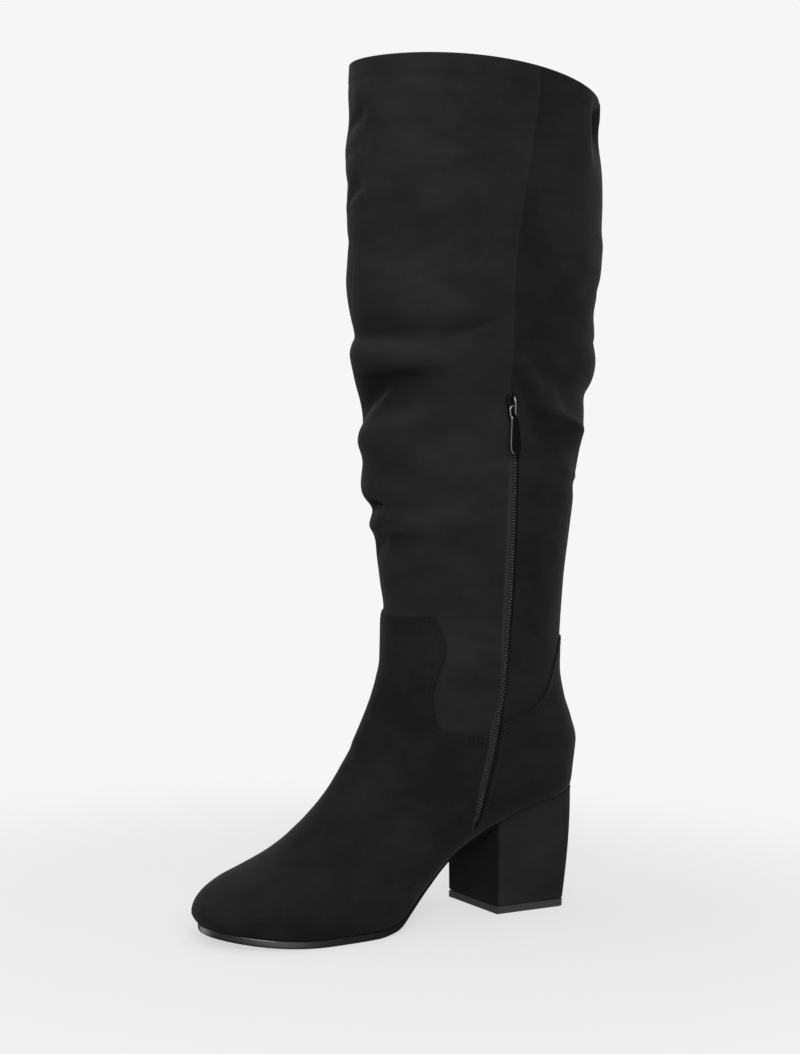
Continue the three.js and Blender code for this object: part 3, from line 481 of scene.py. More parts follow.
def fold_share(z, rounds, stiff=ZIP_STIFF, zip_end=COLLAR_HEIGHT, hem_fade=HEM_FADE):
    """Folds fade out at the hem, at the zip and below the vamp's top edge."""
    beside = np.exp(-(((rounds[None, :] - ZIP_ROUND) / stiff) ** 4))
    zip_share = 1 - 0.9 * beside * smooth(zip_end - z, -2, 6)
    return zip_share * smooth(z - ANKLE_HEIGHT, *ANKLE_FADE) * smooth(COLLAR_HEIGHT - z, *hem_fade)


SEAT_EASE = 150
EASE_ROWS = 12


def eased_seat(grid):
    """The form with its turn from the closed rings to the open rows smoothed at the back."""
    first, last = FIRST_OPEN - EASE_ROWS, FIRST_OPEN + 2 * EASE_ROWS
    row = np.arange(first, last)
    share = smooth(row, first - 1, first + 6) * smooth(-row, -last, 8 - last)
    share = share[:, None, None] * smooth(np.abs(ROUNDS[1:-1]), 112, 140)[None, :, None] / 2
    grid = grid.copy()
    for _ in range(SEAT_EASE):
        beside = grid[first:last, :-2] + grid[first:last, 2:]
        along = grid[first - 1:last - 1, 1:-1] + grid[first + 1:last + 1, 1:-1]
        grid[first:last, 1:-1] = mix(grid[first:last, 1:-1], (beside + along) / 4, share)
    return grid


def grid_normals(grid):
    """Outward unit normals of the grid. Rows above the seat are closed rings."""
    before = np.concatenate([grid[:, :1], grid[:, :-1]], axis=1)
    after = np.concatenate([grid[:, 1:], grid[:, -1:]], axis=1)
    ring = slice(0, FIRST_OPEN + 1)
    before[ring, 0] = before[ring, -1] = grid[ring, -2]
    after[ring, 0] = after[ring, -1] = grid[ring, 1]
    above = np.concatenate([grid[:1], grid[:-1]])
    below = np.concatenate([grid[1:], grid[-1:]])
    return unit(np.cross(after - before, below - above))


EDGE_SLOPE = 0.7


def moved(grid, normals, offset):
    """The form moved in or out, with its lower edge on the seam and its collar at its height."""
    q = grid + normals * offset
    q[0, :, 2] = grid[0, :, 2]
    low = q[FIRST_OPEN:, 1:-1]
    low[..., 2] = np.maximum(low[..., 2], seam_height(along_at(low[..., 1])))
    for j in (0, -1):
        p, n = grid[FIRST_OPEN + 1:, j], normals[FIRST_OPEN + 1:, j]
        flat = np.maximum(EDGE_SLOPE, n[:, 0] ** 2 + n[:, 1] ** 2)
        q[FIRST_OPEN + 1:, j, :2] = p[:, :2] + offset * n[:, :2] / flat[:, None]
        q[FIRST_OPEN + 1:, j, 2] = seam_height(along_at(q[FIRST_OPEN + 1:, j, 1]))
        q[FIRST_OPEN, j] = grid[FIRST_OPEN, j] + (0, offset, 0)
    q[-1] = grid[-1] + (0, -offset, 0)
    q[-1, :, 2] = seam_height(1)
    return q


def line_distance(points, line):
    """Distance of points in a plane to a line of points."""
    best = np.full(len(points), 1e9)
    for a, b in zip(line[:-1], line[1:]):
        d, rel = b - a, points - a
        share = np.clip(rel @ d / (d @ d), 0, 1)
        best = np.minimum(best, np.linalg.norm(rel - share[:, None] * d, axis=1))
    return best


def closed_line_field(points, outline):
    """Distance to a closed outline in a plane, positive inside it."""
    loop = np.vstack([outline, outline[:1]])
    distance = line_distance(points, loop)
    inside = np.zeros(len(points), bool)
    x, y = points[:, 0], points[:, 1]
    for (ax, ay), (bx, by) in zip(loop[:-1], loop[1:]):
        crosses = (ay > y) != (by > y)
        step = np.where(by == ay, 1e-12, by - ay)
        inside ^= crosses & (x < (bx - ax) * (y - ay) / step + ax)
    return np.where(inside, distance, -distance)


zip_forward = curve_through(*columns(ZIP_ROWS))
zip_opening = curve_through(*columns(OPENING_ROWS))


def zip_point(rise):
    """Middle of the zip in side view."""
    rise = np.asarray(rise, float)
    y = OPENING_SHIFT - zip_forward(rise) * SHAFT_FORWARD
    return np.stack([y, ZIP_FOOT + rise * ZIP_LENGTH], axis=-1)


FAR = 99
SEAM_FADE = 30.0


class Patch:
    """Triangles on the upper. Layers are places of its points, fields are numbers over them."""

    def __init__(self, layers, fields, triangles, rims=None):
        self.layers = layers
        self.fields = fields
        self.triangles = triangles
        self.rims = rims or {}

    def crossings(self, field, level):
        """Triangles that a level of a field passes through, and the field above that level."""
        value = self.fields[field] - level
        value = np.where(np.abs(value) < 1e-6, 1e-6, value)
        above = value > 0
        count = above[self.triangles].sum(axis=1)
        return value, above, count

    def cut(self, field, level=0.0, rim=None):
        """The part where the field is over the level, with new points along the line between."""
        value, above, count = self.crossings(field, level)
        kept = self.triangles[count == 3].tolist()
        made, pairs, shares = {}, [], []
        start = len(value)

        def between(a, b):
            key = (min(a, b), max(a, b))
            if key not in made:
                made[key] = start + len(pairs)
                pairs.append(key)
                shares.append(value[key[0]] / (value[key[0]] - value[key[1]]))
            return made[key]

        edges = []
        for triangle in self.triangles[(count == 1) | (count == 2)].tolist():
            inside = [above[k] for k in triangle]
            lone = sum(inside) == 1
            turn = inside.index(True) if lone else (inside.index(False) + 1) % 3
            a, b, c = triangle[turn:] + triangle[:turn]
            p, q = between(b, a if lone else c), between(a, c)
            kept.extend([[a, p, q]] if lone else [[a, b, p], [a, p, q]])
            edges.append((p, q))
        rims = {}
        for name, old in self.rims.items():
            rims[name] = []
            for a, b in old:
                if above[a] or above[b]:
                    p = a if above[a] else between(a, b)
                    q = b if above[b] else between(a, b)
                    rims[name].append((p, q))
        if rim:
            rims[rim] = edges
        pairs = np.array(pairs).reshape(-1, 2)
        shares = np.array(shares)

        def grown(values):
            share = shares if values.ndim == 1 else shares[:, None]
            return np.concatenate([values, mix(values[pairs[:, 0]], values[pairs[:, 1]], share)])

        layers = {name: grown(points) for name, points in self.layers.items()}
        fields = {name: grown(values) for name, values in self.fields.items()}
        return Patch(layers, fields, np.array(kept), rims)

    def contour(self, field, level, layer):
        """Lines along which the field passes the level, each as its points and outward normals."""
        value, above, count = self.crossings(field, level)
        links = {}
        for triangle in self.triangles[(count == 1) | (count == 2)].tolist():
            corners = zip(triangle, triangle[1:] + triangle[:1])
            ends = [(min(a, b), max(a, b)) for a, b in corners if above[a] != above[b]]
            links.setdefault(ends[0], []).append(ends[1])
            links.setdefault(ends[1], []).append(ends[0])
        lines, seen = [], set()
        for first in sorted(links, key=lambda key: (len(links[key]), key)):
            if first in seen:
                continue
            line, at = [first], first
            seen.add(first)
            while at:
                at = next((key for key in links[at] if key not in seen), None)
                if at:
                    seen.add(at)
                    line.append(at)
            pairs = np.array(line)
            low, high = value[pairs[:, 0]], value[pairs[:, 1]]
            share = (low / (low - high))[:, None]
            lines.append([
                mix(values[pairs[:, 0]], values[pairs[:, 1]], share)
                for values in (self.layers[layer], self.layers["normal"])
            ])
        return lines

    def measure(self, name, lines):
        """Adds a field with the distance to lines in space, up to where it fades."""
        points = np.concatenate([dense(line) for line in lines])
        tree = KDTree(len(points))
        for k, p in enumerate(points):
            tree.insert(p, k)
        tree.balance()
        used = np.unique(self.triangles)
        distance = np.full(len(self.layers["outer"]), SEAM_FADE)
        near = self.layers["outer"][used]
        distance[used] = [min(SEAM_FADE, tree.find(p)[2]) for p in near]
        self.fields[name] = distance


def dense(line, step=0.5):
    """A line of points with more between them, so that none lie further apart than the step."""
    points = [line[:1]]
    for a, b in zip(line[:-1], line[1:]):
        count = max(1, math.ceil(np.linalg.norm(b - a) / step))
        share = np.arange(1, count + 1)[:, None] / count
        points.append(mix(a, b, share))
    return np.concatenate(points)


def rounded(values, times):
    """Values along a line with their corners rounded, their ends kept."""
    for _ in range(times):
        values[1:-1] = values[:-2] / 4 + values[1:-1] / 2 + values[2:] / 4
    return values


def evened(line, normals, step):
    """A line and its normals with points at an even step, rounded a little at its corners."""
    length = np.concatenate([[0], np.cumsum(np.linalg.norm(np.diff(line, axis=0), axis=1))])
    at = np.linspace(0, length[-1], max(3, int(length[-1] / step)))
    return [
        rounded(np.stack([np.interp(at, length, v[:, k]) for k in range(3)], axis=1), 4)
        for v in (line, normals)
    ]


def flowing(corners, count=120):
    """A smooth line through corners in a plane."""
    corners = np.asarray(corners, float)
    run = np.concatenate([[0], np.cumsum(np.linalg.norm(np.diff(corners, axis=0), axis=1))])
    at = np.linspace(0, run[-1], count)
    return np.stack([curve_through(run, corners[:, k])(at) for k in range(2)], axis=1)


def overlay_outline():
    """Outline of vamp and counter in side view: their top edge, closed far below the boot."""
    edge = flowing([(y_at(along), height * ANKLE_HEIGHT) for along, height in OVERLAY_EDGE])
    front = y_at(1.3)
    return np.vstack([edge, [(edge[-1, 0], -300), (front, -300), (front, edge[0, 1])]])


def grid_ids(rows, cols):
    """Numbers of a grid's points. Rows above the seat are closed rings."""
    ids = np.arange(rows * cols).reshape(rows, cols)
    ids[:FIRST_OPEN + 1, -1] = ids[:FIRST_OPEN + 1, 0]
    return ids


def quads(ids):
    """Faces of four between the points of a grid."""
    return np.stack([ids[:-1, :-1], ids[:-1, 1:], ids[1:, 1:], ids[1:, :-1]], axis=-1).reshape(-1, 4)


@functools.cache
def build_form():
    """The fine form of the upper, with the fields that its panels, edges and seams need."""
    bare = form_points(ROWS, ROUNDS)
    z = bare[..., 2]
    depth = fold_depth(z, ROUNDS, FOLDS) * fold_share(z, ROUNDS)
    fine_share = fold_share(z, ROUNDS, SEAM_STIFF, ZIP_END, FINE_HEM_FADE)
    depth += fold_depth(z, ROUNDS, FINE_FOLDS) * fine_share
    hem = smooth(z - z[0], -HEM_DEPTH - 0.8, -HEM_DEPTH + 0.8)
    grid = eased_seat(bare + grid_normals(bare) * (depth + HEM_STEP * hem)[..., None])
    normals = grid_normals(grid)
    layers = {
        "outer": grid,
        "over": moved(grid, normals, OVERLAY),
        "deep": moved(grid, normals, -0.75 * WALL),
        "inner": moved(grid, normals, -WALL),
        "normal": normals,
    }
    rows = len(ROWS)
    ids = grid_ids(rows, AROUND)
    ids[-1] = ids[-1, 0]
    faces = quads(ids)
    triangles = np.concatenate([faces[:, [0, 1, 2]], faces[:, [0, 2, 3]]])
    solid = (triangles != np.roll(triangles, 1, axis=1)).all(axis=1)
    flat = {name: points.reshape(-1, 3) for name, points in layers.items()}
    outer = flat["outer"]
    turned = np.tile(ROUNDS, rows)
    side_view = outer[:, 1:]
    inner_side = turned > 8
    off_zip = line_distance(side_view, zip_point(np.linspace(0, 1, 60)))
    opening = zip_opening((outer[:, 2] - ZIP_FOOT) / ZIP_LENGTH)
    seams = {
        "inner_seam": (inner_side, line_distance(side_view, flowing(INNER_SEAM, 40))),
        "front_seam": (np.abs(turned) < 60, line_distance(outer[:, [0, 2]], flowing(FRONT_SEAM, 60))),
        "back_seam": (np.abs(turned) > 150, np.abs(outer[:, 0])),
    }
    fields = {
        "overlay": closed_line_field(side_view, overlay_outline()),
        "zip_gap": np.where(inner_side, off_zip, FAR) - opening,
        **{name: np.where(here, gap, FAR).clip(0, SEAM_FADE) for name, (here, gap) in seams.items()},
        "behind": np.where(inner_side, panel_share(side_view), 0),
        "hem": (outer[:, 2] - np.tile(bare[0, :, 2], rows) + HEM_DEPTH).clip(-SEAM_FADE, SEAM_FADE),
        "fold": depth.ravel(),
    }
    return Patch(flat, fields, triangles[solid])


def panel_share(side_view):
    """1 behind the zip and the seam above it, 0 in front."""
    line = np.concatenate([zip_point(np.linspace(0, 0.98, 40)), np.array(INNER_SEAM)])
    y = np.interp(side_view[:, 1], line[:, 1], line[:, 0])
    return smooth(side_view[:, 0] - y, -0.8, 0.8)


def linked(name, data):
    """A new object with that data, in the scene."""
    obj = bpy.data.objects.new(name, data)
    bpy.context.scene.collection.objects.link(obj)
    return obj


def make_mesh(name, points, faces, fields=None, sharp=None):
    """A mesh object from points in millimetres, with its fields as attributes."""
    mesh = bpy.data.meshes.new(name)
    mesh.from_pydata((np.asarray(points) * MM).tolist(), [], [list(f) for f in faces])
    for field, values in (fields or {}).items():
        attribute = mesh.attributes.new(field, "FLOAT", "POINT")
        attribute.data.foreach_set("value", np.asarray(values, np.float32))
    mesh.validate()
    mesh.shade_smooth()
    if sharp:
        mesh.set_sharp_from_angle(angle=math.radians(sharp))
    return linked(name, mesh)


def patch_object(name, patch, top, rims, fields):
    """A mesh of one layer of a patch, with walls from its rims down to another layer."""
    points, faces = patch.layers[top], patch.triangles
    data = {field: patch.fields[field] for field in fields}
    for rim, layer in rims:
        used, place = np.unique(np.array(patch.rims[rim]), return_inverse=True)
        low = place.reshape(-1, 2) + len(points)
        p, q = np.array(patch.rims[rim]).T
        points = np.concatenate([points, patch.layers[layer][used]])
        data = {field: np.concatenate([values, values[used]]) for field, values in data.items()}
        wall = [np.stack([q, p, low[:, 0]], axis=1), np.stack([q, low[:, 0], low[:, 1]], axis=1)]
        faces = np.concatenate([faces, *wall])
    used, place = np.unique(faces, return_inverse=True)
    data = {field: values[used] for field, values in data.items()}
    return make_mesh(name, points[used], place.reshape(-1, 3), data, sharp=48)


def finished(obj, material, body, slot, *nodes):
    """Gives a piece its material and its body; its slot is not used."""
    obj.data.materials.clear()
    obj.data.materials.append(material)
    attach(obj, body)
    if nodes:
        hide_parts(*nodes)


def joined(name, parts):
    """One mesh object from parts: each its points, its faces and a mark of 0 to 1 on its points."""
    points, faces, marks, start = [], [], [], 0
    for part in parts:
        points.append(np.asarray(part[0], float))
        faces.extend([[k + start for k in face] for face in part[1]])
        marks.extend(np.broadcast_to(part[2] if len(part) > 2 else 0.0, len(part[0])))
        start += len(part[0])
    return make_mesh(name, np.concatenate(points), faces, {"mark": marks})


def stack(rings, plain_caps=False):
    """Points and faces through a stack of equal rings. Each end is capped by one plain face or by a
    strip of faces of four."""
    rings = [np.asarray(ring, float) for ring in rings]
    n = len(rings[0])
    low = (len(rings) - 1) * n
    faces = []
    for start in range(0, low, n):
        for k in range(n):
            a, b = start + k, start + (k + 1) % n
            faces.append([a, b, b + n, a + n])
    if plain_caps:
        return np.concatenate(rings), faces + [list(range(n))[::-1], list(range(low, low + n))]
    for k in range((n - 1) // 2):
        a, b = n - 1 - k, n - 2 - k
        faces.append([k, a, b, k + 1])
        faces.append([low + k, low + k + 1, low + b, low + a])
    return np.concatenate(rings), faces


def cleaned(obj, distance=0.01, sharp=50):
    """Merges doubled points, drops faces without area and turns all faces outwards."""
    bm = bmesh.new()
    bm.from_mesh(obj.data)
    bmesh.ops.remove_doubles(bm, verts=bm.verts, dist=distance * MM)
    bmesh.ops.dissolve_degenerate(bm, edges=bm.edges, dist=1e-7)
    bmesh.ops.recalc_face_normals(bm, faces=bm.faces)
    bm.to_mesh(obj.data)
    bm.free()
    obj.data.shade_smooth()
    obj.data.set_sharp_from_angle(angle=math.radians(sharp))
    return obj


def plain_mesh(obj):
    """The object's mesh with its modifier in it. The modifier is removed."""
    graph = bpy.context.evaluated_depsgraph_get()
    mesh = bpy.data.meshes.new_from_object(obj.evaluated_get(graph))
    if not mesh.polygons:
        raise RuntimeError(f"{obj.name} came out empty")
    obj.modifiers.clear()
    old, obj.data = obj.data, mesh
    bpy.data.meshes.remove(old)
    mesh.name = obj.name
    return obj


BEVEL_ANGLE = 1.1


def bevelled(obj, width, segments):
    """Rounds the sharp edges of an object."""
    modifier = obj.modifiers.new("Edges", "BEVEL")
    modifier.width, modifier.segments = width * MM, segments
    modifier.limit_method, modifier.angle_limit = "ANGLE", BEVEL_ANGLE
    return plain_mesh(obj)


class Number:
    """A number that varies over a surface: a socket, with the operators that add its Math nodes."""

    def __init__(self, finish, socket):
        self.finish = finish
        self.socket = socket

    def maths(self, operation, *others, swapped=False):
        values = dict(enumerate((*others, self) if swapped else (self, *others)))
        return Number(self.finish, self.finish.first("ShaderNodeMath", {"operation": operation}, values))

    def __add__(self, other):
        return self.maths("ADD", other)

    def __sub__(self, other):
        return self.maths("SUBTRACT", other)

    def __rsub__(self, other):
        return self.maths("SUBTRACT", other, swapped=True)

    def __mul__(self, other):
        return self.maths("MULTIPLY", other)

    def __truediv__(self, other):
        return self.maths("DIVIDE", other)

    __radd__ = __add__

    def near(self, place, width):
        """1 where the number is at a place, fading out over a width to each side."""
        away = (self - place) / width
        return (away * away * -1).maths("EXPONENT")

    def over(self, low, high):
        """0 below the low number, 1 above the high one, and smooth between."""
        values = {"Value": self, "From Min": low, "From Max": high}
        settings = {"interpolation_type": "SMOOTHSTEP"}
        return Number(self.finish, self.finish.first("ShaderNodeMapRange", settings, values))


class Nodes:
    """A node tree, and the one way in which its nodes are made."""

    def __init__(self, tree):
        self.tree = tree

    def fill(self, socket, value):
        """Links a socket to another one, or gives it a value."""
        source = value.socket if isinstance(value, Number) else value
        if isinstance(source, bpy.types.NodeSocket):
            self.tree.links.new(source, socket)
        else:
            socket.default_value = source

    def node(self, kind, settings=None, inputs=None):
        """Adds a node: its settings first, then the values or links of its sockets."""
        node = self.tree.nodes.new(kind)
        for name, value in (settings or {}).items():
            setattr(node, name, value)
        for key, value in (inputs or {}).items():
            self.fill(node.inputs[key], value)
        return node

    def first(self, *made):
        """The first output of a new node."""
        return self.node(*made).outputs[0]


class Finish(Nodes):
    """One material and its nodes."""

    def __init__(self, name, roughness=0.5, specular=0.5, **shader):
        self.material = bpy.data.materials.new(name)
        self.material.use_nodes = True
        super().__init__(self.material.node_tree)
        self.tree.nodes.clear()
        shader |= {"Roughness": roughness, "Specular IOR Level": specular}
        self.shader = self.node("ShaderNodeBsdfPrincipled", {}, shader)
        self.node("ShaderNodeOutputMaterial", {}, {"Surface": self.shader.outputs["BSDF"]})
        self.place = self.node("ShaderNodeTexCoord").outputs["Object"]

    def across_and_along(self):
        """Places on the object along X and Y."""
        outputs = self.node("ShaderNodeSeparateXYZ", {}, {"Vector": self.place}).outputs
        return Number(self, outputs["X"]), Number(self, outputs["Y"])

    def noise(self, scale, detail=2.0, roughness=0.5, stretch=None):
        """Cloudy noise on the object's own coordinates, in features per metre."""
        source = self.place
        if stretch:
            source = self.first("ShaderNodeMapping", {}, {"Vector": source, "Scale": stretch})
        values = {"Vector": source, "Scale": scale, "Detail": detail, "Roughness": roughness}
        return Number(self, self.first("ShaderNodeTexNoise", {}, values))

    def cells(self, scale):
        values = {"Vector": self.place, "Scale": scale}
        return Number(self, self.first("ShaderNodeTexVoronoi", {}, values))

    def field(self, name):
        return Number(self, self.node("ShaderNodeAttribute", {"attribute_name": name}).outputs["Fac"])

    def colour(self, share, dark, light):
        """Base colour from a dark to a light colour."""
        values = {0: share, 6: (*dark, 1), 7: (*light, 1)}
        self.set("Base Color", self.node("ShaderNodeMix", {"data_type": "RGBA"}, values).outputs[2])

    def set(self, key, value):
        self.fill(self.shader.inputs[key], value)

    def bump(self, height, distance):
        values = {"Height": height, "Distance": distance * MM}
        self.set("Normal", self.first("ShaderNodeBump", {}, values))


def suede(name, colours, grooves=(), behind=None, folds=None, shade=0.0, mark=0.0):
    """Brushed suede-like fabric: soft clouds where the nap lies another way, short fibres, and the
    grooves of seams and stitch rows. A groove is a field, its place and width, and its depth."""
    f = Finish(name, 0.95, 0.05, **{"Sheen Weight": 0.03, "Sheen Roughness": 0.35})
    lying = (1, 1, 1.6)
    clouds = f.noise(14, 3, 0.55, lying).over(0.3, 0.7)
    smudges = f.noise(48, 3, 0.6, lying).over(0.3, 0.7)
    nap = f.noise(480, 3, 0.65)
    fibre = f.noise(2200, 2, 0.6)
    # The shade argument is painted shade over the whole piece, and painted light where it is negative
    tone = clouds * 0.36 + smudges * 0.22 + nap * 0.26 + (fibre - 0.5) * 0.3 + (0.08 - shade)
    height = nap * 0.9 + fibre * 0.5
    for field, place, width, depth in grooves:
        line = f.field(field).near(place, width)
        height = height - line * depth
        # Painted shade along each groove, and painted light on the strip beside it where the depth is
        # negative
        tone = tone - line * min(0.5, depth * 0.12)
    if behind:
        tone = tone - f.field(behind) * 0.3
    # Painted shade in the folds' troughs, starting at 1 mm deep and full at 7.5 mm, and painted light on
    # their ridges, rising with their height
    if folds:
        fold = f.field(folds)
        tone = (tone + fold * 0.05) * fold.over(-7.5, -1)
    # Painted shade at the marked places, such as the heel's breast
    if mark:
        tone = tone - f.field("mark") * mark
    f.colour(tone, *colours)
    f.bump(height, 0.22)
    return f.material


def sole_gloss(colours):
    """Moulded sole: dark, dull along its waist, and polished in two places along the toe."""
    f = Finish("sole_gloss", specular=0.04, **{"Coat Roughness": 0.18, "Coat IOR": 1.8})
    ripple = f.noise(60)
    scuff = f.noise(900, 3, 0.7).over(0.5, 0.75)
    x, y = f.across_and_along()
    waist = y.over(-0.125, -0.08)
    streak = y.near(-0.168, 0.016) + x.near(0.011, 0.005) * (1 - y.over(-0.196, -0.19)) * 1.3
    f.colour(scuff * 0.4 + ripple * 0.2 - waist, *colours)
    gloss = (0.04 + streak * 0.9 + ripple * 0.1) * x.over(0, 0.007) * (1 - waist)
    f.set("Coat Weight", gloss * f.field("mark"))
    f.set("Roughness", 0.5 + scuff * 0.15 + waist * 0.35)
    f.bump(ripple * 1.5 + scuff * 0.1, 0.15)
    return f.material


def lift_rubber(colours):
    """Matte rubber of the top lift, finely pitted."""
    f = Finish("lift_rubber", specular=0.35)
    pits = f.cells(900)
    haze = f.noise(120, 3)
    f.colour(haze * 0.7 + pits * 0.3, *colours)
    f.set("Roughness", 0.72 + haze * 0.15)
    f.bump(pits, 0.12)
    return f.material


def lining_cloth(colours):
    """Thin knitted lining: fine wales across and along the leg."""
    f = Finish("lining_cloth", 0.85, **{"Sheen Weight": 0.1})
    weave = f.noise(1500, 1, stretch=(1, 1, 0.25))
    f.colour(weave * 0.6 + f.noise(30) * 0.4, *colours)
    f.bump(weave, 0.2)
    return f.material


def zip_cloth(colours):
    """Woven zip tape: a twill of fine ribs, from the tape's own fields, with a painted shadow along its
    back side.
    """
    f = Finish("zip_cloth", 0.8, 0.2)
    across = f.field("across")
    ribs = (f.field("along") * 5.2 + across.maths("ABSOLUTE") * 3.4).maths("SINE") * 0.5 + 0.5
    # Painted shadow of the slot's back edge on the tape, growing from 0.4 mm to 1.6 mm across towards
    # the back
    flap_shadow = across.over(0.4, 1.6)
    f.colour(ribs * 0.5 + f.noise(1400) * 0.4 + 0.15 - flap_shadow * 0.7, *colours)
    f.bump(ribs, 0.18)
    return f.material


def coil(colours):
    """Teeth of the zip: dark plastic polished by the slider."""
    f = Finish("coil", specular=0.4, Metallic=0.2)
    f.colour(f.noise(700).over(0.4, 0.7), *colours)
    f.set("Roughness", 0.3 + f.noise(300) * 0.2)
    return f.material


def slider_metal(colours):
    """Dark coated metal, with painted highlights: lighter and smoother where the mark field says, on the
    edges set to catch the light.
    """
    f = Finish("slider_metal", Metallic=1.0)
    # The mark is a painted highlight: it lifts the colour to the light one and smooths the metal
    painted_highlight = f.field("mark")
    haze = f.noise(900)
    f.colour(painted_highlight * 0.98 + haze * 0.02, *colours)
    f.set("Roughness", 0.34 + haze * 0.12 - painted_highlight * 0.2)
    f.bump(f.noise(500), 0.02)
    return f.material


def thread(colours):
    """Sewing thread, twisted."""
    f = Finish("thread", 0.8, 0.1)
    f.colour(f.noise(2500), *colours)
    return f.material


def pale_floor():
    """Pale floor round the boot that fades into the background."""
    glow = {"Emission Color": (0.62, 0.62, 0.62, 1), "Emission Strength": 1.0}
    f = Finish("pale_floor", 0.95, 0.05, **glow)
    x, y = f.across_and_along()
    y = y + 0.08
    f.set("Alpha", 1 - (x * x + y * y).maths("SQRT").over(0.17, 0.45))
    f.colour(f.noise(40), (0.118, 0.118, 0.118), (0.122, 0.122, 0.122))
    return f.material


def row_tree(name):
    """Geometry Nodes: small rounded items in a row along each line, turned to the surface there."""
    tree = bpy.data.node_groups.new(name, "GeometryNodeTree")
    sockets = tree.interface
    sockets.new_socket("Geometry", in_out="INPUT", socket_type="NodeSocketGeometry")
    for key in ("Pitch", "Length", "Width", "Height"):
        socket = sockets.new_socket(key, in_out="INPUT", socket_type="NodeSocketFloat")
        socket.default_value, socket.subtype = MM, "DISTANCE"
    sockets.new_socket("Finish", in_out="INPUT", socket_type="NodeSocketMaterial")
    sockets.new_socket("Geometry", in_out="OUTPUT", socket_type="NodeSocketGeometry")
    nodes = Nodes(tree)
    given = nodes.node("NodeGroupInput").outputs
    curve = nodes.first("GeometryNodeMeshToCurve", {}, {"Mesh": given["Geometry"]})
    row = nodes.first(
        "GeometryNodeResampleCurve", {"mode": "LENGTH"}, {"Curve": curve, "Length": given["Pitch"]}
    )
    item = nodes.first("GeometryNodeMeshUVSphere", {}, {"Segments": 6, "Rings": 4, "Radius": 0.5})
    out = nodes.first("GeometryNodeInputNamedAttribute", {"data_type": "FLOAT_VECTOR"}, {"Name": "out"})
    up = nodes.first("FunctionNodeAlignRotationToVector", {"axis": "Z"}, {"Vector": out})
    turned = nodes.first(
        "FunctionNodeAlignRotationToVector", {"axis": "X", "pivot_axis": "Z"},
        {"Rotation": up, "Vector": nodes.first("GeometryNodeInputTangent")},
    )
    size = nodes.first(
        "ShaderNodeCombineXYZ", {}, {"X": given["Length"], "Y": given["Width"], "Z": given["Height"]}
    )
    placed_items = {"Points": row, "Instance": item, "Rotation": turned, "Scale": size}
    shape = nodes.first("GeometryNodeInstanceOnPoints", {}, placed_items)
    for kind in ("GeometryNodeRealizeInstances", "GeometryNodeSetShadeSmooth"):
        shape = nodes.first(kind, {}, {"Geometry": shape})
    painted = {"Geometry": shape, "Material": given["Finish"]}
    nodes.node("NodeGroupOutput", {}, {"Geometry": nodes.first("GeometryNodeSetMaterial", {}, painted)})
    return tree


def rows_of_items(name, tree, lines, material, lengths):
    """A plain mesh of items in rows along lines. Lines are pairs of points and outward normals."""
    points, normals = (np.concatenate(values) for values in zip(*lines))
    ends = np.cumsum([len(line) for line, _ in lines]) - 1
    starts = np.setdiff1d(np.arange(len(points)), ends)
    mesh = bpy.data.meshes.new(name)
    mesh.from_pydata((points * MM).tolist(), np.stack([starts, starts + 1], axis=1).tolist(), [])
    attribute = mesh.attributes.new("out", "FLOAT_VECTOR", "POINT")
    attribute.data.foreach_set("vector", normals.astype(np.float32).ravel())
    obj = linked(name, mesh)
    modifier = obj.modifiers.new("Rows", "NODES")
    modifier.node_group = tree
    sockets = {s.name: s.identifier for s in tree.interface.items_tree if s.in_out == "INPUT"}
    for key, value in {**lengths, "Finish": material}.items():
        modifier[sockets[key]] = value
    return plain_mesh(obj)


@functools.cache
def surface():
    """The outer face of the fine form, to be hit by rays."""
    form = build_form()
    points = [Vector(p) for p in form.layers["outer"]]
    return BVHTree.FromPolygons(points, form.triangles.tolist())


def on_inner_side(places):
    """Points and outward normals of the inner side at places in side view."""
    points, normals = [], []
    for y, z in places:
        hit, normal, _, _ = surface().ray_cast(Vector((200, y, z)), Vector((-1, 0, 0)))
        if hit is None:
            raise RuntimeError(f"the inner side has no point at {y:.1f}, {z:.1f}")
        points.append(hit)
        normals.append(normal if normal.x > 0 else -normal)
    return np.array(points), np.array(normals)


def zip_frames(rises, shift=0.0):
    """Points and normals along the zip at shares of its length, shifted across it."""
    tangent = unit(zip_point(rises + 0.004) - zip_point(rises - 0.004))
    side = np.stack([tangent[:, 1], -tangent[:, 0]], axis=1)
    points, normals = on_inner_side(zip_point(rises) + side * np.reshape(shift, (-1, 1)))
    return points, unit(rounded(normals, 6))


def feather_ring(start, offset, level):
    """The feather line moved out, at a height that depends on the place along the bottom."""
    sides = np.linspace(max(start, HEEL_ROUND), 1 - TOE_ROUND, 60, endpoint=False)
    stops = np.concatenate([sides, 1 - TOE_ROUND + TOE_ROUND * np.sin(np.linspace(0, math.pi / 2, 34))])
    inner, outer = feather(stops)
    middle, y = swing(stops), y_at(stops)
    line = np.concatenate([
        np.stack([middle + inner, y], axis=1), np.stack([middle - outer, y], axis=1)[::-1][1:],
    ])
    tangent = unit(np.concatenate([line[1:], line[-1:]]) - np.concatenate([line[:1], line[:-1]]))
    offset = offset * mix(0.2, 1, smooth(along_at(line[:, 1]), 0.4, 0.58))
    x = line[:, 0] - tangent[:, 1] * offset
    y = line[:, 1] + tangent[:, 0] * offset
    return np.stack([x, y, level(along_at(y))], axis=1)


def sole_thickness(along):
    return mix(WAIST_THICKNESS, SOLE_THICKNESS, smooth(along, 0.42, 0.6))


HEEL_CORNER = 0.86
CORNER_FULL = 2.5
HEEL_BLEND = 2.5


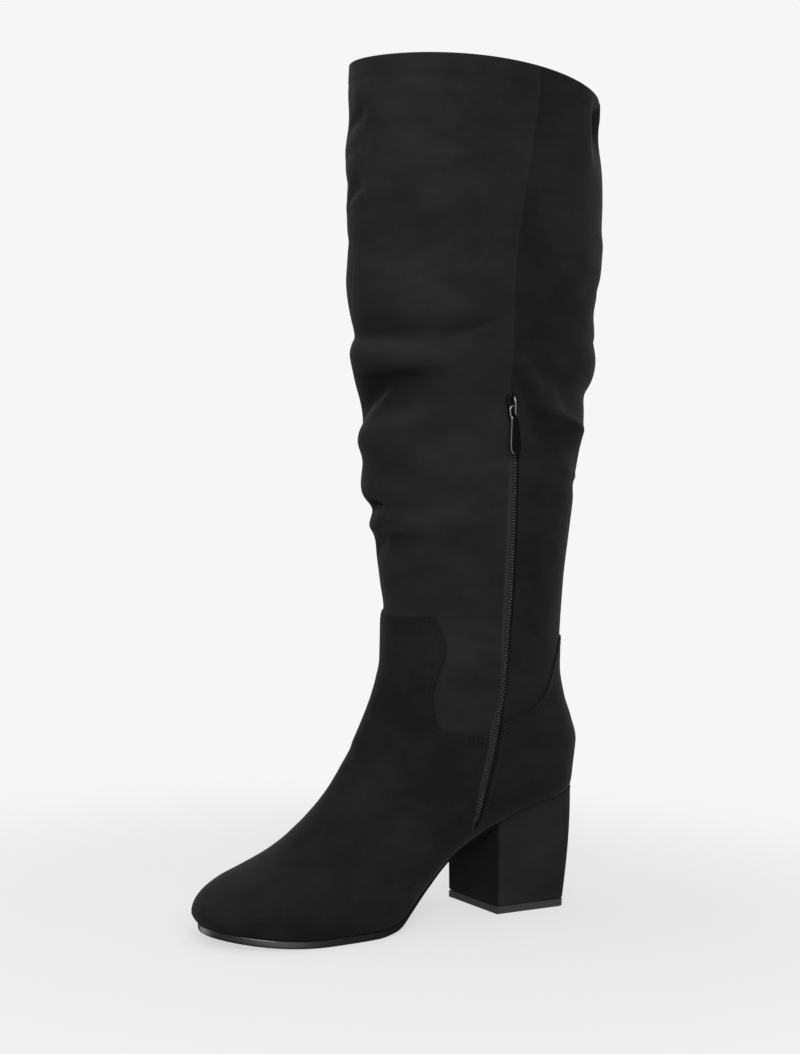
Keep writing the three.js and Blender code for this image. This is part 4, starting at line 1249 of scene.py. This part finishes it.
def heel_ring(t, low, inset=0.0, steps=40):
    """A ring of the heel, from its base at 0 to the seat at 1, moved in by an inset."""
    turn = np.linspace(0, math.pi / 2, steps)[1:]
    s = np.concatenate([np.linspace(0, 0.8, steps // 2), 1 - 0.2 * np.cos(turn)])
    along = along_at(-BREAST) * (1 - s)
    inner, outer = feather(along)
    turn = np.clip((s - HEEL_CORNER) / (1 - HEEL_CORNER), 0, 1)
    base = HEEL_BASE_WIDTH / 2 * (1 - turn**CORNER_FULL) ** (1 / CORNER_FULL)
    y = mix((s - 0.5) * HEEL_BASE_LENGTH, y_at(along), t)
    z = mix(low, seam_height(along) - GAP, t)
    sides = [mix(base, half, t**HEEL_BLEND) for half in (outer, inner)]
    middle = y.mean()
    y = middle + (y - middle) * (1 - inset / (HEEL_BASE_LENGTH / 2))
    left = np.stack([-(sides[0] - inset).clip(0), y, z], axis=1)
    right = np.stack([(sides[1] - inset).clip(0), y, z], axis=1)
    return np.concatenate([left, right[::-1][1:]])


def prism(outline, low, high):
    """Points and faces of an upright plate from its outline."""
    return stack([[(x, y, z) for x, y in outline] for z in (low, high)], plain_caps=True)


def tube(path, radius, sides=10):
    """Points and faces of a rod along a path of points, closed at both ends."""
    path = np.asarray(path, float)
    directions = unit(np.gradient(path, axis=0))
    turn = np.linspace(0, 2 * math.pi, sides, endpoint=False)[:, None]
    rings = []
    normal = np.cross(directions[0], (0.3, 0.2, 1))
    for p, d in zip(path, directions):
        normal = unit(normal - d * (normal @ d))
        rings.append(p + radius * (np.cos(turn) * normal + np.sin(turn) * np.cross(d, normal)))
    return stack(rings, plain_caps=True)


def evened_path(corners):
    """A path through corners with points at even steps, its corners rounded."""
    return rounded(dense(np.asarray(corners, float)), 2)


def slide_frame():
    """Pivot of the pull and the directions across and along the zip and out of the boot there."""
    joint = next(j for j in frame["joints"] if j["name"] == "pull_swing")
    across = unit(-np.array(joint["axis"]))
    _, normals = zip_frames(np.array([0.95, 0.96, 0.97]))
    out = unit(normals[1] - across * (normals[1] @ across))
    return np.array(joint["pos_m"]) / MM, across, np.cross(out, across), out


def placed(parts, origin, across, up, out):
    """Parts in the slider's own frame, moved to their place on the boot."""
    axes = np.stack([across, up, out])
    return [(np.asarray(part[0], float) @ axes + origin, *part[1:]) for part in parts]


class BootSizes(PropertyGroup):
    """Sizes and strengths that a user would change."""

    stitch_pitch: FloatProperty(
        name="Stitch pitch", description="From one stitch to the next", default=2.6 * MM,
        subtype="DISTANCE",
    )
    stitch_length: FloatProperty(
        name="Stitch length", description="Length of the thread that shows", default=1.7 * MM,
        subtype="DISTANCE",
    )
    stitch_width: FloatProperty(
        name="Thread width", description="Width of the thread", default=0.38 * MM, subtype="DISTANCE"
    )
    tooth_pitch: FloatProperty(
        name="Tooth pitch", description="From one zip tooth to the next", default=1.6 * MM,
        subtype="DISTANCE",
    )
    key_light: FloatProperty(
        name="Key light", description="Power of the main soft light", default=23.5, unit="POWER"
    )
    top_light: FloatProperty(
        name="Top light", description="Power of the light above", default=8, unit="POWER"
    )
    side_light: FloatProperty(
        name="Side light", description="Power of the fill light", default=2.5, unit="POWER"
    )


# Finishes: what they are, and their dark and light colours
COLOURS = {
    "suede": ("Nap of the fabric", (0.0042, 0.0041, 0.0044), (0.0125, 0.0121, 0.0122)),
    "thread": ("Stitches", (0.006, 0.006, 0.0063), (0.017, 0.0166, 0.0163)),
    "sole": ("Lacquered sole", (0.003, 0.003, 0.0035), (0.02, 0.02, 0.022)),
    "lift": ("Rubber of the top lift", (0.0085, 0.0085, 0.0097), (0.018, 0.018, 0.02)),
    "lining": ("Knitted lining", (0.01, 0.01, 0.011), (0.03, 0.03, 0.032)),
    "tape": ("Woven zip tape", (0.003, 0.003, 0.0035), (0.0095, 0.0095, 0.0105)),
    "coil": ("Zip teeth", (0.006, 0.006, 0.007), (0.03, 0.03, 0.032)),
    # The metal's light colour is that of its painted highlights
    "metal": ("Slider and pull", (0.004, 0.004, 0.0045), (0.16, 0.16, 0.165)),
}


def colour_property(what, tone, default):
    return FloatVectorProperty(
        name=f"{what}, {tone}", description=f"The {tone} colour of its finish", default=default, size=3,
        subtype="COLOR", min=0, max=1,
    )


class BootColours(PropertyGroup):
    """Dark and light colour of each finish."""

    __annotations__ = {
        f"{finish}_{tone}": colour_property(what, tone, colour)
        for finish, (what, *pair) in COLOURS.items() for tone, colour in zip(("dark", "light"), pair)
    }


def sizes():
    return bpy.context.scene.boot_sizes


def shades(name):
    colours = bpy.context.scene.boot_colours
    return tuple(getattr(colours, f"{name}_dark")), tuple(getattr(colours, f"{name}_light"))


@functools.cache
def finish_of(make, name):
    """A finish in the colours of that name, made once."""
    return make(shades(name))


def stitches(name, lines):
    """Sewn rows, one mesh."""
    tree = bpy.data.node_groups.get("sewn_rows") or row_tree("sewn_rows")
    sewn, s = finish_of(thread, "thread"), sizes()
    lengths = {
        "Pitch": s.stitch_pitch, "Length": s.stitch_length, "Width": s.stitch_width,
        "Height": s.stitch_width,
    }
    finished(rows_of_items(name, tree, lines, sewn, lengths), sewn, "boot", "suede")


# Stitch rows of the vamp, from its edge, and those of the zip, from its opening: the side of each,
# and its ends as shares of the zip
EDGE_ROWS = (1.5, 3.6)
EDGE_STEP = 0.8
SHORTEST_ROW = 12
THREAD_LIFT = 0.05
ZIP_ROW = 1.9
SEWN_SIDES = ((-1, 0.02, 0.3), (1, 0.04, 0.3))
COLLAR_STEPS = 6


class BOOT_OT_upper(Operator):
    """Shaft, vamp and counter with their seams, folds and the lining inside"""

    bl_idname = "boot.upper"
    bl_label = "Upper"

    def execute(self, context):
        whole = build_form()
        # Grooves: field, place, width and depth. Each darkens the tone as painted shade, or lightens it
        # as painted light where the depth is negative
        grooves = (
            ("inner_seam", 0, 0.5, 2.4), ("front_seam", 0, 0.6, 1.1), ("back_seam", 0, 0.6, 1.6),
            ("inner_seam", 0.9, 0.5, -0.5), ("hem", 0, 0.9, 0.5), ("zip_gap", 0, 0.4, 2.5),
        )
        cloth = suede("suede_shaft", shades("suede"), grooves, behind="behind", folds="fold")
        whole.fields["under"] = 2 - whole.fields["overlay"]
        shaft = whole.cut("under").cut("zip_gap", rim="zip")
        self.fold_collar(shaft, whole)
        fields = ("inner_seam", "front_seam", "back_seam", "hem", "behind", "fold", "zip_gap")
        obj = patch_object("upper_shaft", shaft, "outer", (("zip", "deep"),), fields)
        finished(obj, cloth, "boot", "suede", "upper")
        self.vamp(whole)
        self.lining(whole)
        return {"FINISHED"}

    def fold_collar(self, shaft, whole):
        """Adds the folded edge of the collar, from the outer face over to the lining."""
        count = AROUND - 1
        outer, inner = whole.layers["outer"][:count], whole.layers["inner"][:count]
        start = len(shaft.layers["outer"])
        turns = np.linspace(0, math.pi, COLLAR_STEPS + 1)[1:]
        added = np.concatenate([
            mix(outer, inner, (1 - math.cos(t)) / 2) + (0, 0, WALL / 2 * math.sin(t)) for t in turns
        ])
        for name in shaft.layers:
            shaft.layers[name] = np.concatenate([shaft.layers[name], added])
        for name, values in shaft.fields.items():
            extra = np.full(len(added), HEM_DEPTH if name == "hem" else SEAM_FADE)
            if name in ("behind", "fold"):
                extra = np.tile(values[:count], COLLAR_STEPS)
            shaft.fields[name] = np.concatenate([values, extra])
        k = np.arange(count)
        n = (k + 1) % count
        for r in range(COLLAR_STEPS):
            top, new = (start + (r - 1) * count if r else 0), start + r * count
            pairs = [(top + k, new + k, new + n), (top + k, new + n, top + n)]
            shaft.triangles = np.concatenate([shaft.triangles, *(np.stack(p, axis=1) for p in pairs)])

    def vamp(self, whole):
        """Vamp and counter, cut along their top edge, with two rows of stitches beside it."""
        panel = whole.cut("overlay", rim="edge").cut("zip_gap", rim="zip")
        top = [line for line, _ in whole.contour("overlay", 0, "outer")]
        panel.measure("edge", [line for line in top if len(line) > 20])
        # The edge grooves paint shade along the vamp's edge and its stitch rows, and paint light on the
        # strip just inside the edge
        grooves = [("edge", 0, 0.55, 1.8), ("edge", 0.9, 0.6, -0.6), ("zip_gap", 0, 0.4, 2.5)]
        grooves += [("edge", place, 0.4, 1.1) for place in EDGE_ROWS]
        # Painted shade over the whole vamp and counter, which face the lights more than the shaft does
        cloth = suede("suede_vamp", shades("suede"), grooves, shade=0.37)
        rims = (("edge", "outer"), ("zip", "deep"))
        obj = patch_object("upper_vamp", panel, "over", rims, ("edge", "zip_gap"))
        finished(obj, cloth, "boot", "suede")
        lines = []
        for place in EDGE_ROWS:
            for line, normals in panel.contour("edge", place, "over"):
                line, normals = evened(line, normals, EDGE_STEP)
                if np.linalg.norm(line[1:] - line[:-1], axis=1).sum() > SHORTEST_ROW:
                    lines.append((line + normals * THREAD_LIFT, normals))
        stitches("vamp_stitches", lines)

    def lining(self, whole):
        """Lining, seen from above through the collar."""
        inner = whole.layers["inner"].reshape(len(ROWS), AROUND, 3)[:, ::3]
        faces = quads(grid_ids(*inner.shape[:2]))[:, ::-1]
        used, place = np.unique(faces, return_inverse=True)
        obj = make_mesh("shaft_lining", inner.reshape(-1, 3)[used], place.reshape(-1, 4))
        finished(obj, finish_of(lining_cloth, "lining"), "boot", "lining")


class BOOT_OT_seams(Operator):
    """Stitch rows beside the foot of the zip"""

    bl_idname = "boot.seams"
    bl_label = "Seams"

    def execute(self, context):
        lines = []
        for side, low, high in SEWN_SIDES:
            rises = np.linspace(low, high, 120)
            points, normals = zip_frames(rises, side * (zip_opening(rises) + ZIP_ROW))
            over = smooth(closed_line_field(points[:, 1:], overlay_outline()), -0.6, 0.4)
            lines.append((points + normals * (over * OVERLAY)[:, None], normals))
        stitches("zip_stitches", lines)
        return {"FINISHED"}


# Edge of the sole: how far in from the ledge, share of the thickness down, and gloss of its coat
SOLE_EDGE = (
    (1.2, 0, 0), (0.4, 0, 0), (0.1, 0.06, 0.15), (0, 0.2, 1), (0, 0.45, 1), (0.08, 0.66, 0.9),
    (0.3, 0.82, 0.3), (0.7, 0.94, 0), (1.3, 1, 0), (6, 1, 0),
)
# Edge of the top lift: its height, and how far in from the side
LIFT_EDGE = ((LIFT_THICKNESS - GAP, 0.4), (LIFT_THICKNESS - 0.6, 0), (0.5, 0), (0.15, 0.15), (0, 0.5))
HEEL_LEVELS = (1, 0.96, 0.9, 0.82, 0.72, 0.6, 0.48, 0.36, 0.24, 0.12, 0.05, 0.015, 0)


class BOOT_OT_sole(Operator):
    """Outsole, covered heel, top lift and the insole's finish"""

    bl_idname = "boot.sole"
    bl_label = "Sole and heel"

    def execute(self, context):
        self.outsole()
        self.heel()
        insole = frame["nodes"]["insole"]
        insole.data.materials.clear()
        insole.data.materials.append(finish_of(lining_cloth, "lining"))
        return {"FINISHED"}

    def outsole(self):
        """A thin sole with a rounded edge that stands proud of the forepart."""
        start = along_at(-BREAST - GAP)
        rings = [
            feather_ring(
                start, SOLE_LEDGE - inset, lambda along, share=share:
                seam_height(along) - GAP * (1 - share) - share * sole_thickness(along)
            )
            for inset, share, _ in SOLE_EDGE
        ]
        gloss_and_highlight = np.repeat([row[2] for row in SOLE_EDGE], len(rings[0]))
        obj = cleaned(joined("sole", [(*stack(rings), gloss_and_highlight)]), sharp=60)
        finished(obj, finish_of(sole_gloss, "sole"), "boot", "sole", "outsole")

    def heel(self):
        """The block heel in the upper's fabric, and its top lift."""
        rings = [heel_ring(t, LIFT_THICKNESS, 0 if t else 0.35) for t in HEEL_LEVELS]
        points, faces = stack(rings)
        # The breast's corner points carry the mark, which the heel's finish turns into painted shade on
        # its front face; the negative shade paints light over the whole heel
        breast = np.isin(np.arange(len(points)) % len(rings[0]), (0, len(rings[0]) - 1))
        obj = cleaned(joined("heel_block", [(points, faces, breast * 1.0)]))
        cloth = suede("suede_heel", shades("suede"), shade=-0.12, mark=0.75)
        finished(obj, cloth, "boot", "suede", "heel")
        rings = [heel_ring(0, low, inset) for low, inset in LIFT_EDGE]
        obj = cleaned(joined("heel_lift", [stack(rings)]))
        finished(obj, finish_of(lift_rubber, "lift"), "boot", "top_lift", "top_lift")


TAPE_RISES = 220
TAPE_PLACES = 15
TAPE_DEPTH = 1.3
CHAIN_SHIFT = 0.7
TOOTH = {"Length": 0.95 * MM, "Width": 1.3 * MM, "Height": 0.9 * MM}
TOOTH_SHIFT = 0.55
TOOTH_START = 0.02
# Angle at which the pull hangs off the zip
HANG = math.radians(-3)
BRIDGE_HALF = 5
BRIDGE_WIRE = 0.55
# Slider's plate from foot to nose: shares of its half width and half length, on one side
PLATE_SIDE = (
    (0.55, -1), (0.68, -0.75), (0.7, -0.3), (0.86, 0.1), (1, 0.5), (0.9, 0.86), (0.6, 1), (0.3, 0.96),
)
PLATE_NOTCH = (0, 0.72)
# Bail of the pull on one side, in millimetres from the pivot
BAIL_SIDE = ((1.6, -6.2), (2.3, -4.6), (2.45, -2.4), (2.2, -0.7), (1.5, 0), (0, 0))
TAB_TOP = -5.4
# Tab of the pull on one side: share of its half width, and place below its top or above its end
TAB_SIDE = (
    (0.42, TAB_TOP), (0.56, TAB_TOP - 0.8), (0.7, TAB_TOP - 6), (0.98, 5 - PULL_LENGTH),
    (0.9, 1.6 - PULL_LENGTH), (0.5, -PULL_LENGTH),
)


class BOOT_OT_zip(Operator):
    """Zip tape, teeth, slider and pull tab"""

    bl_idname = "boot.zip"
    bl_label = "Zip"

    def execute(self, context):
        self.tape()
        self.teeth()
        pivot, across, up, out = slide_frame()
        parts = placed(self.slider_parts(), pivot - out * PIVOT_HEIGHT, across, up, out)
        self.metal("slider", parts, (0.25, 3), "boot", "zip_slider")
        hang = up * math.cos(HANG) + out * math.sin(HANG)
        parts = placed(self.pull_parts(), pivot, across, hang, np.cross(across, hang))
        self.metal("pull", parts, (0.15, 2), "pull", "zip_pull")
        return {"FINISHED"}

    def tape(self):
        """Woven tape, sunk a little in its slot and lower still along its edges."""
        rises = np.linspace(0.004, 0.998, TAPE_RISES)
        shares = np.linspace(-1, 1, TAPE_PLACES)
        half = zip_opening(rises) - 0.1
        sides = [zip_frames(rises, half * share) for share in shares]
        points, normals = (np.stack(values, axis=1) for values in zip(*sides))
        sink = 0.4 + 0.6 * np.abs(shares) ** 3
        top = points - normals * sink[None, :, None]
        layers = np.concatenate([top.reshape(-1, 3), (points - normals * TAPE_DEPTH).reshape(-1, 3)])
        count = TAPE_RISES * TAPE_PLACES
        ids = np.arange(count).reshape(TAPE_RISES, TAPE_PLACES)
        upper_side = quads(ids)
        loop = np.concatenate([ids[0, :-1], ids[:-1, -1], ids[-1, :0:-1], ids[:0:-1, 0]])
        next_one = np.roll(loop, -1)
        walls = np.stack([loop, loop + count, next_one + count, next_one], axis=-1)
        faces = np.concatenate([upper_side, upper_side[:, ::-1] + count, walls])
        fields = {
            "across": np.tile((half[:, None] * shares[None, :]).ravel(), 2),
            "along": np.tile(np.repeat(rises * ZIP_LENGTH, TAPE_PLACES), 2),
        }
        obj = cleaned(make_mesh("tape", layers, faces, fields), 0.001)
        finished(obj, finish_of(zip_cloth, "tape"), "boot", "zip_tape", "zip_tape")

    def teeth(self):
        """Two rows of closed teeth, one half a pitch further along."""
        pitch = sizes().tooth_pitch / MM / ZIP_LENGTH
        end = 1 - SLIDER_LENGTH / ZIP_LENGTH
        lines = []
        for shift, start in ((-TOOTH_SHIFT, TOOTH_START), (TOOTH_SHIFT, TOOTH_START + pitch / 2)):
            rises = np.linspace(start, end, 240)
            points, normals = zip_frames(rises, CHAIN_SHIFT * smooth(rises, 0.1, 0.5) + shift)
            lines.append((points + normals * 0.1, normals))
        tooth = finish_of(coil, "coil")
        lengths = {"Pitch": sizes().tooth_pitch, **TOOTH}
        obj = rows_of_items("teeth", row_tree("zip_teeth"), lines, tooth, lengths)
        finished(obj, tooth, "boot", "zip_chain", "zip_chain")

    def slider_parts(self):
        """Shield-shaped plate and the arched bridge that holds the pull."""
        outline = [*PLATE_SIDE, PLATE_NOTCH, *((-x, y) for x, y in PLATE_SIDE[::-1])]
        plate = [(x * SLIDER_WIDTH / 2, y * SLIDER_LENGTH / 2) for x, y in outline]
        top = SLIDER_SEAT + SLIDER_PLATE
        turns = np.linspace(0, math.pi, 17)
        across = 0.3 + 0.7 * np.cos(turns).clip(0) ** 6
        rise = (BRIDGE_RISE + 0.6) * np.sin(turns).clip(0) ** 0.45
        arch = np.stack([across, -BRIDGE_HALF * np.cos(turns), top - 0.4 + rise], axis=1)
        # Marks: the plate stays dark, and the bridge gets a painted highlight
        return [(*prism(plate, SLIDER_SEAT, top), 0.02), (*tube(arch, BRIDGE_WIRE), 0.95)]

    def pull_parts(self):
        """A bail of wire and a tab with a raised rim."""
        side = [(x * PULL_WIDTH / 2, y) for x, y in TAB_SIDE]
        thick = PULL_THICKNESS / 2
        tab = [*((-x, y) for x, y in side), *side[::-1]]
        parts = [(*prism(tab, -thick, thick * 0.75), 0.0)]
        # The left bail and the tab's left rim get painted highlights, and the right ones stay dark
        for way, gloss_and_highlight, rim, rim_highlight in ((-1, 0.9, 0.34, 1.0), (1, 0.05, 0.22, 0.0)):
            bail = evened_path([(way * x, y, 0) for x, y in BAIL_SIDE])
            edge = evened_path([(way * x * 0.97, y, thick * 0.7) for x, y in side])
            parts += [(*tube(bail, BAIL_WIRE / 2 - 0.1), gloss_and_highlight), (*tube(edge, rim, 8), rim_highlight)]
        return parts

    def metal(self, name, parts, bevel, body, node):
        """One piece of metal with its edges rounded."""
        obj = cleaned(bevelled(joined(name, parts), *bevel), 0.001)
        finished(obj, finish_of(slider_metal, "metal"), body, "metal", node)


# Camera of the photograph, in degrees and millimetres
AZIMUTH = math.radians(57.14)
ELEVATION = math.radians(2.70)
ROLL = math.radians(1.44)
DISTANCE = 1068.3
LENS = 68.31
TARGET = np.array((0, -78.5, 210.2))
# Lights: size in metres, and place in millimetres, as the camera sees it: in front of the boot, to
# its right and above it
LIGHTS = {
    "key": (0.9, (1250, 150, 650)), "top": (1.2, (0, -200, 1500)), "side": (0.8, (300, -1200, 500)),
}
BACKGROUND = (0.9216, 0.9216, 0.9216, 1)
FLOOR_HALF = 1500


class BOOT_OT_stage(Operator):
    """Floor, soft lights and the camera"""

    bl_idname = "boot.stage"
    bl_label = "Stage"

    def execute(self, context):
        back = np.array((
            math.sin(AZIMUTH) * math.cos(ELEVATION), -math.cos(AZIMUTH) * math.cos(ELEVATION),
            math.sin(ELEVATION),
        ))
        right = np.array((math.cos(AZIMUTH), math.sin(AZIMUTH), 0))
        up = np.cross(back, right)
        self.camera(back, right, up)
        self.floor()
        ways = np.array(((back[0], back[1], 0), right, (0, 0, 1)))
        for name, (size, place) in LIGHTS.items():
            self.light(name, getattr(sizes(), f"{name}_light"), size, place @ ways)
        world = bpy.data.worlds.new("studio")
        world.use_nodes = True
        world.node_tree.nodes["Background"].inputs["Color"].default_value = BACKGROUND
        context.scene.world = world
        context.scene.view_settings.view_transform = "Standard"
        return {"FINISHED"}

    def camera(self, back, right, up):
        data = bpy.data.cameras.new("photo_camera")
        data.lens = LENS
        data.clip_start, data.clip_end = 0.05, 50
        camera = linked("photo_camera", data)
        turned_right = right * math.cos(ROLL) + up * math.sin(ROLL)
        turned_up = up * math.cos(ROLL) - right * math.sin(ROLL)
        matrix = Matrix(np.stack([turned_right, turned_up, back], axis=1).tolist()).to_4x4()
        matrix.translation = Vector((TARGET + back * DISTANCE) * MM)
        camera.matrix_world = matrix
        bpy.context.scene.camera = camera

    def floor(self):
        corners = [(x * FLOOR_HALF, y * FLOOR_HALF, 0) for x, y in ((-1, -1), (1, -1), (1, 1), (-1, 1))]
        obj = make_mesh("floor", corners, [(0, 1, 2, 3)])
        obj.data.materials.append(pale_floor())

    def light(self, name, power, size, place):
        data = bpy.data.lights.new(name, "AREA")
        data.shape = "DISK"
        data.size = size
        data.energy = power
        lamp = linked(name, data)
        start = Vector((TARGET + place) * MM)
        aim = Vector(TARGET * MM) - start
        lamp.rotation_mode = "QUATERNION"
        lamp.rotation_quaternion = aim.to_track_quat("-Z", "Y")
        lamp.location = start


class BOOT_PT_panel(Panel):
    """Sidebar panel with the boot's pieces"""

    bl_idname = "BOOT_PT_panel"
    bl_label = "Slouch boot"
    bl_space_type = "VIEW_3D"
    bl_region_type = "UI"
    bl_category = "Boot"

    def draw(self, context):
        for operator in OPERATORS:
            self.layout.operator(operator.bl_idname)
        for group in (context.scene.boot_sizes, context.scene.boot_colours):
            box = self.layout.box()
            for name in group.bl_rna.properties.keys():
                if name not in ("rna_type", "name"):
                    box.prop(group, name)


OPERATORS = (BOOT_OT_upper, BOOT_OT_seams, BOOT_OT_sole, BOOT_OT_zip, BOOT_OT_stage)
CLASSES = (BootSizes, BootColours, *OPERATORS, BOOT_PT_panel)


def register():
    for cls in CLASSES:
        bpy.utils.register_class(cls)
    bpy.types.Scene.boot_sizes = PointerProperty(type=BootSizes)
    bpy.types.Scene.boot_colours = PointerProperty(type=BootColours)


def unregister():
    del bpy.types.Scene.boot_colours
    del bpy.types.Scene.boot_sizes
    for cls in reversed(CLASSES):
        bpy.utils.unregister_class(cls)


def main():
    register()
    bpy.ops.boot.stage()
    bpy.ops.boot.upper()
    bpy.ops.boot.seams()
    bpy.ops.boot.sole()
    bpy.ops.boot.zip()


if __name__ == "__main__":
    main()
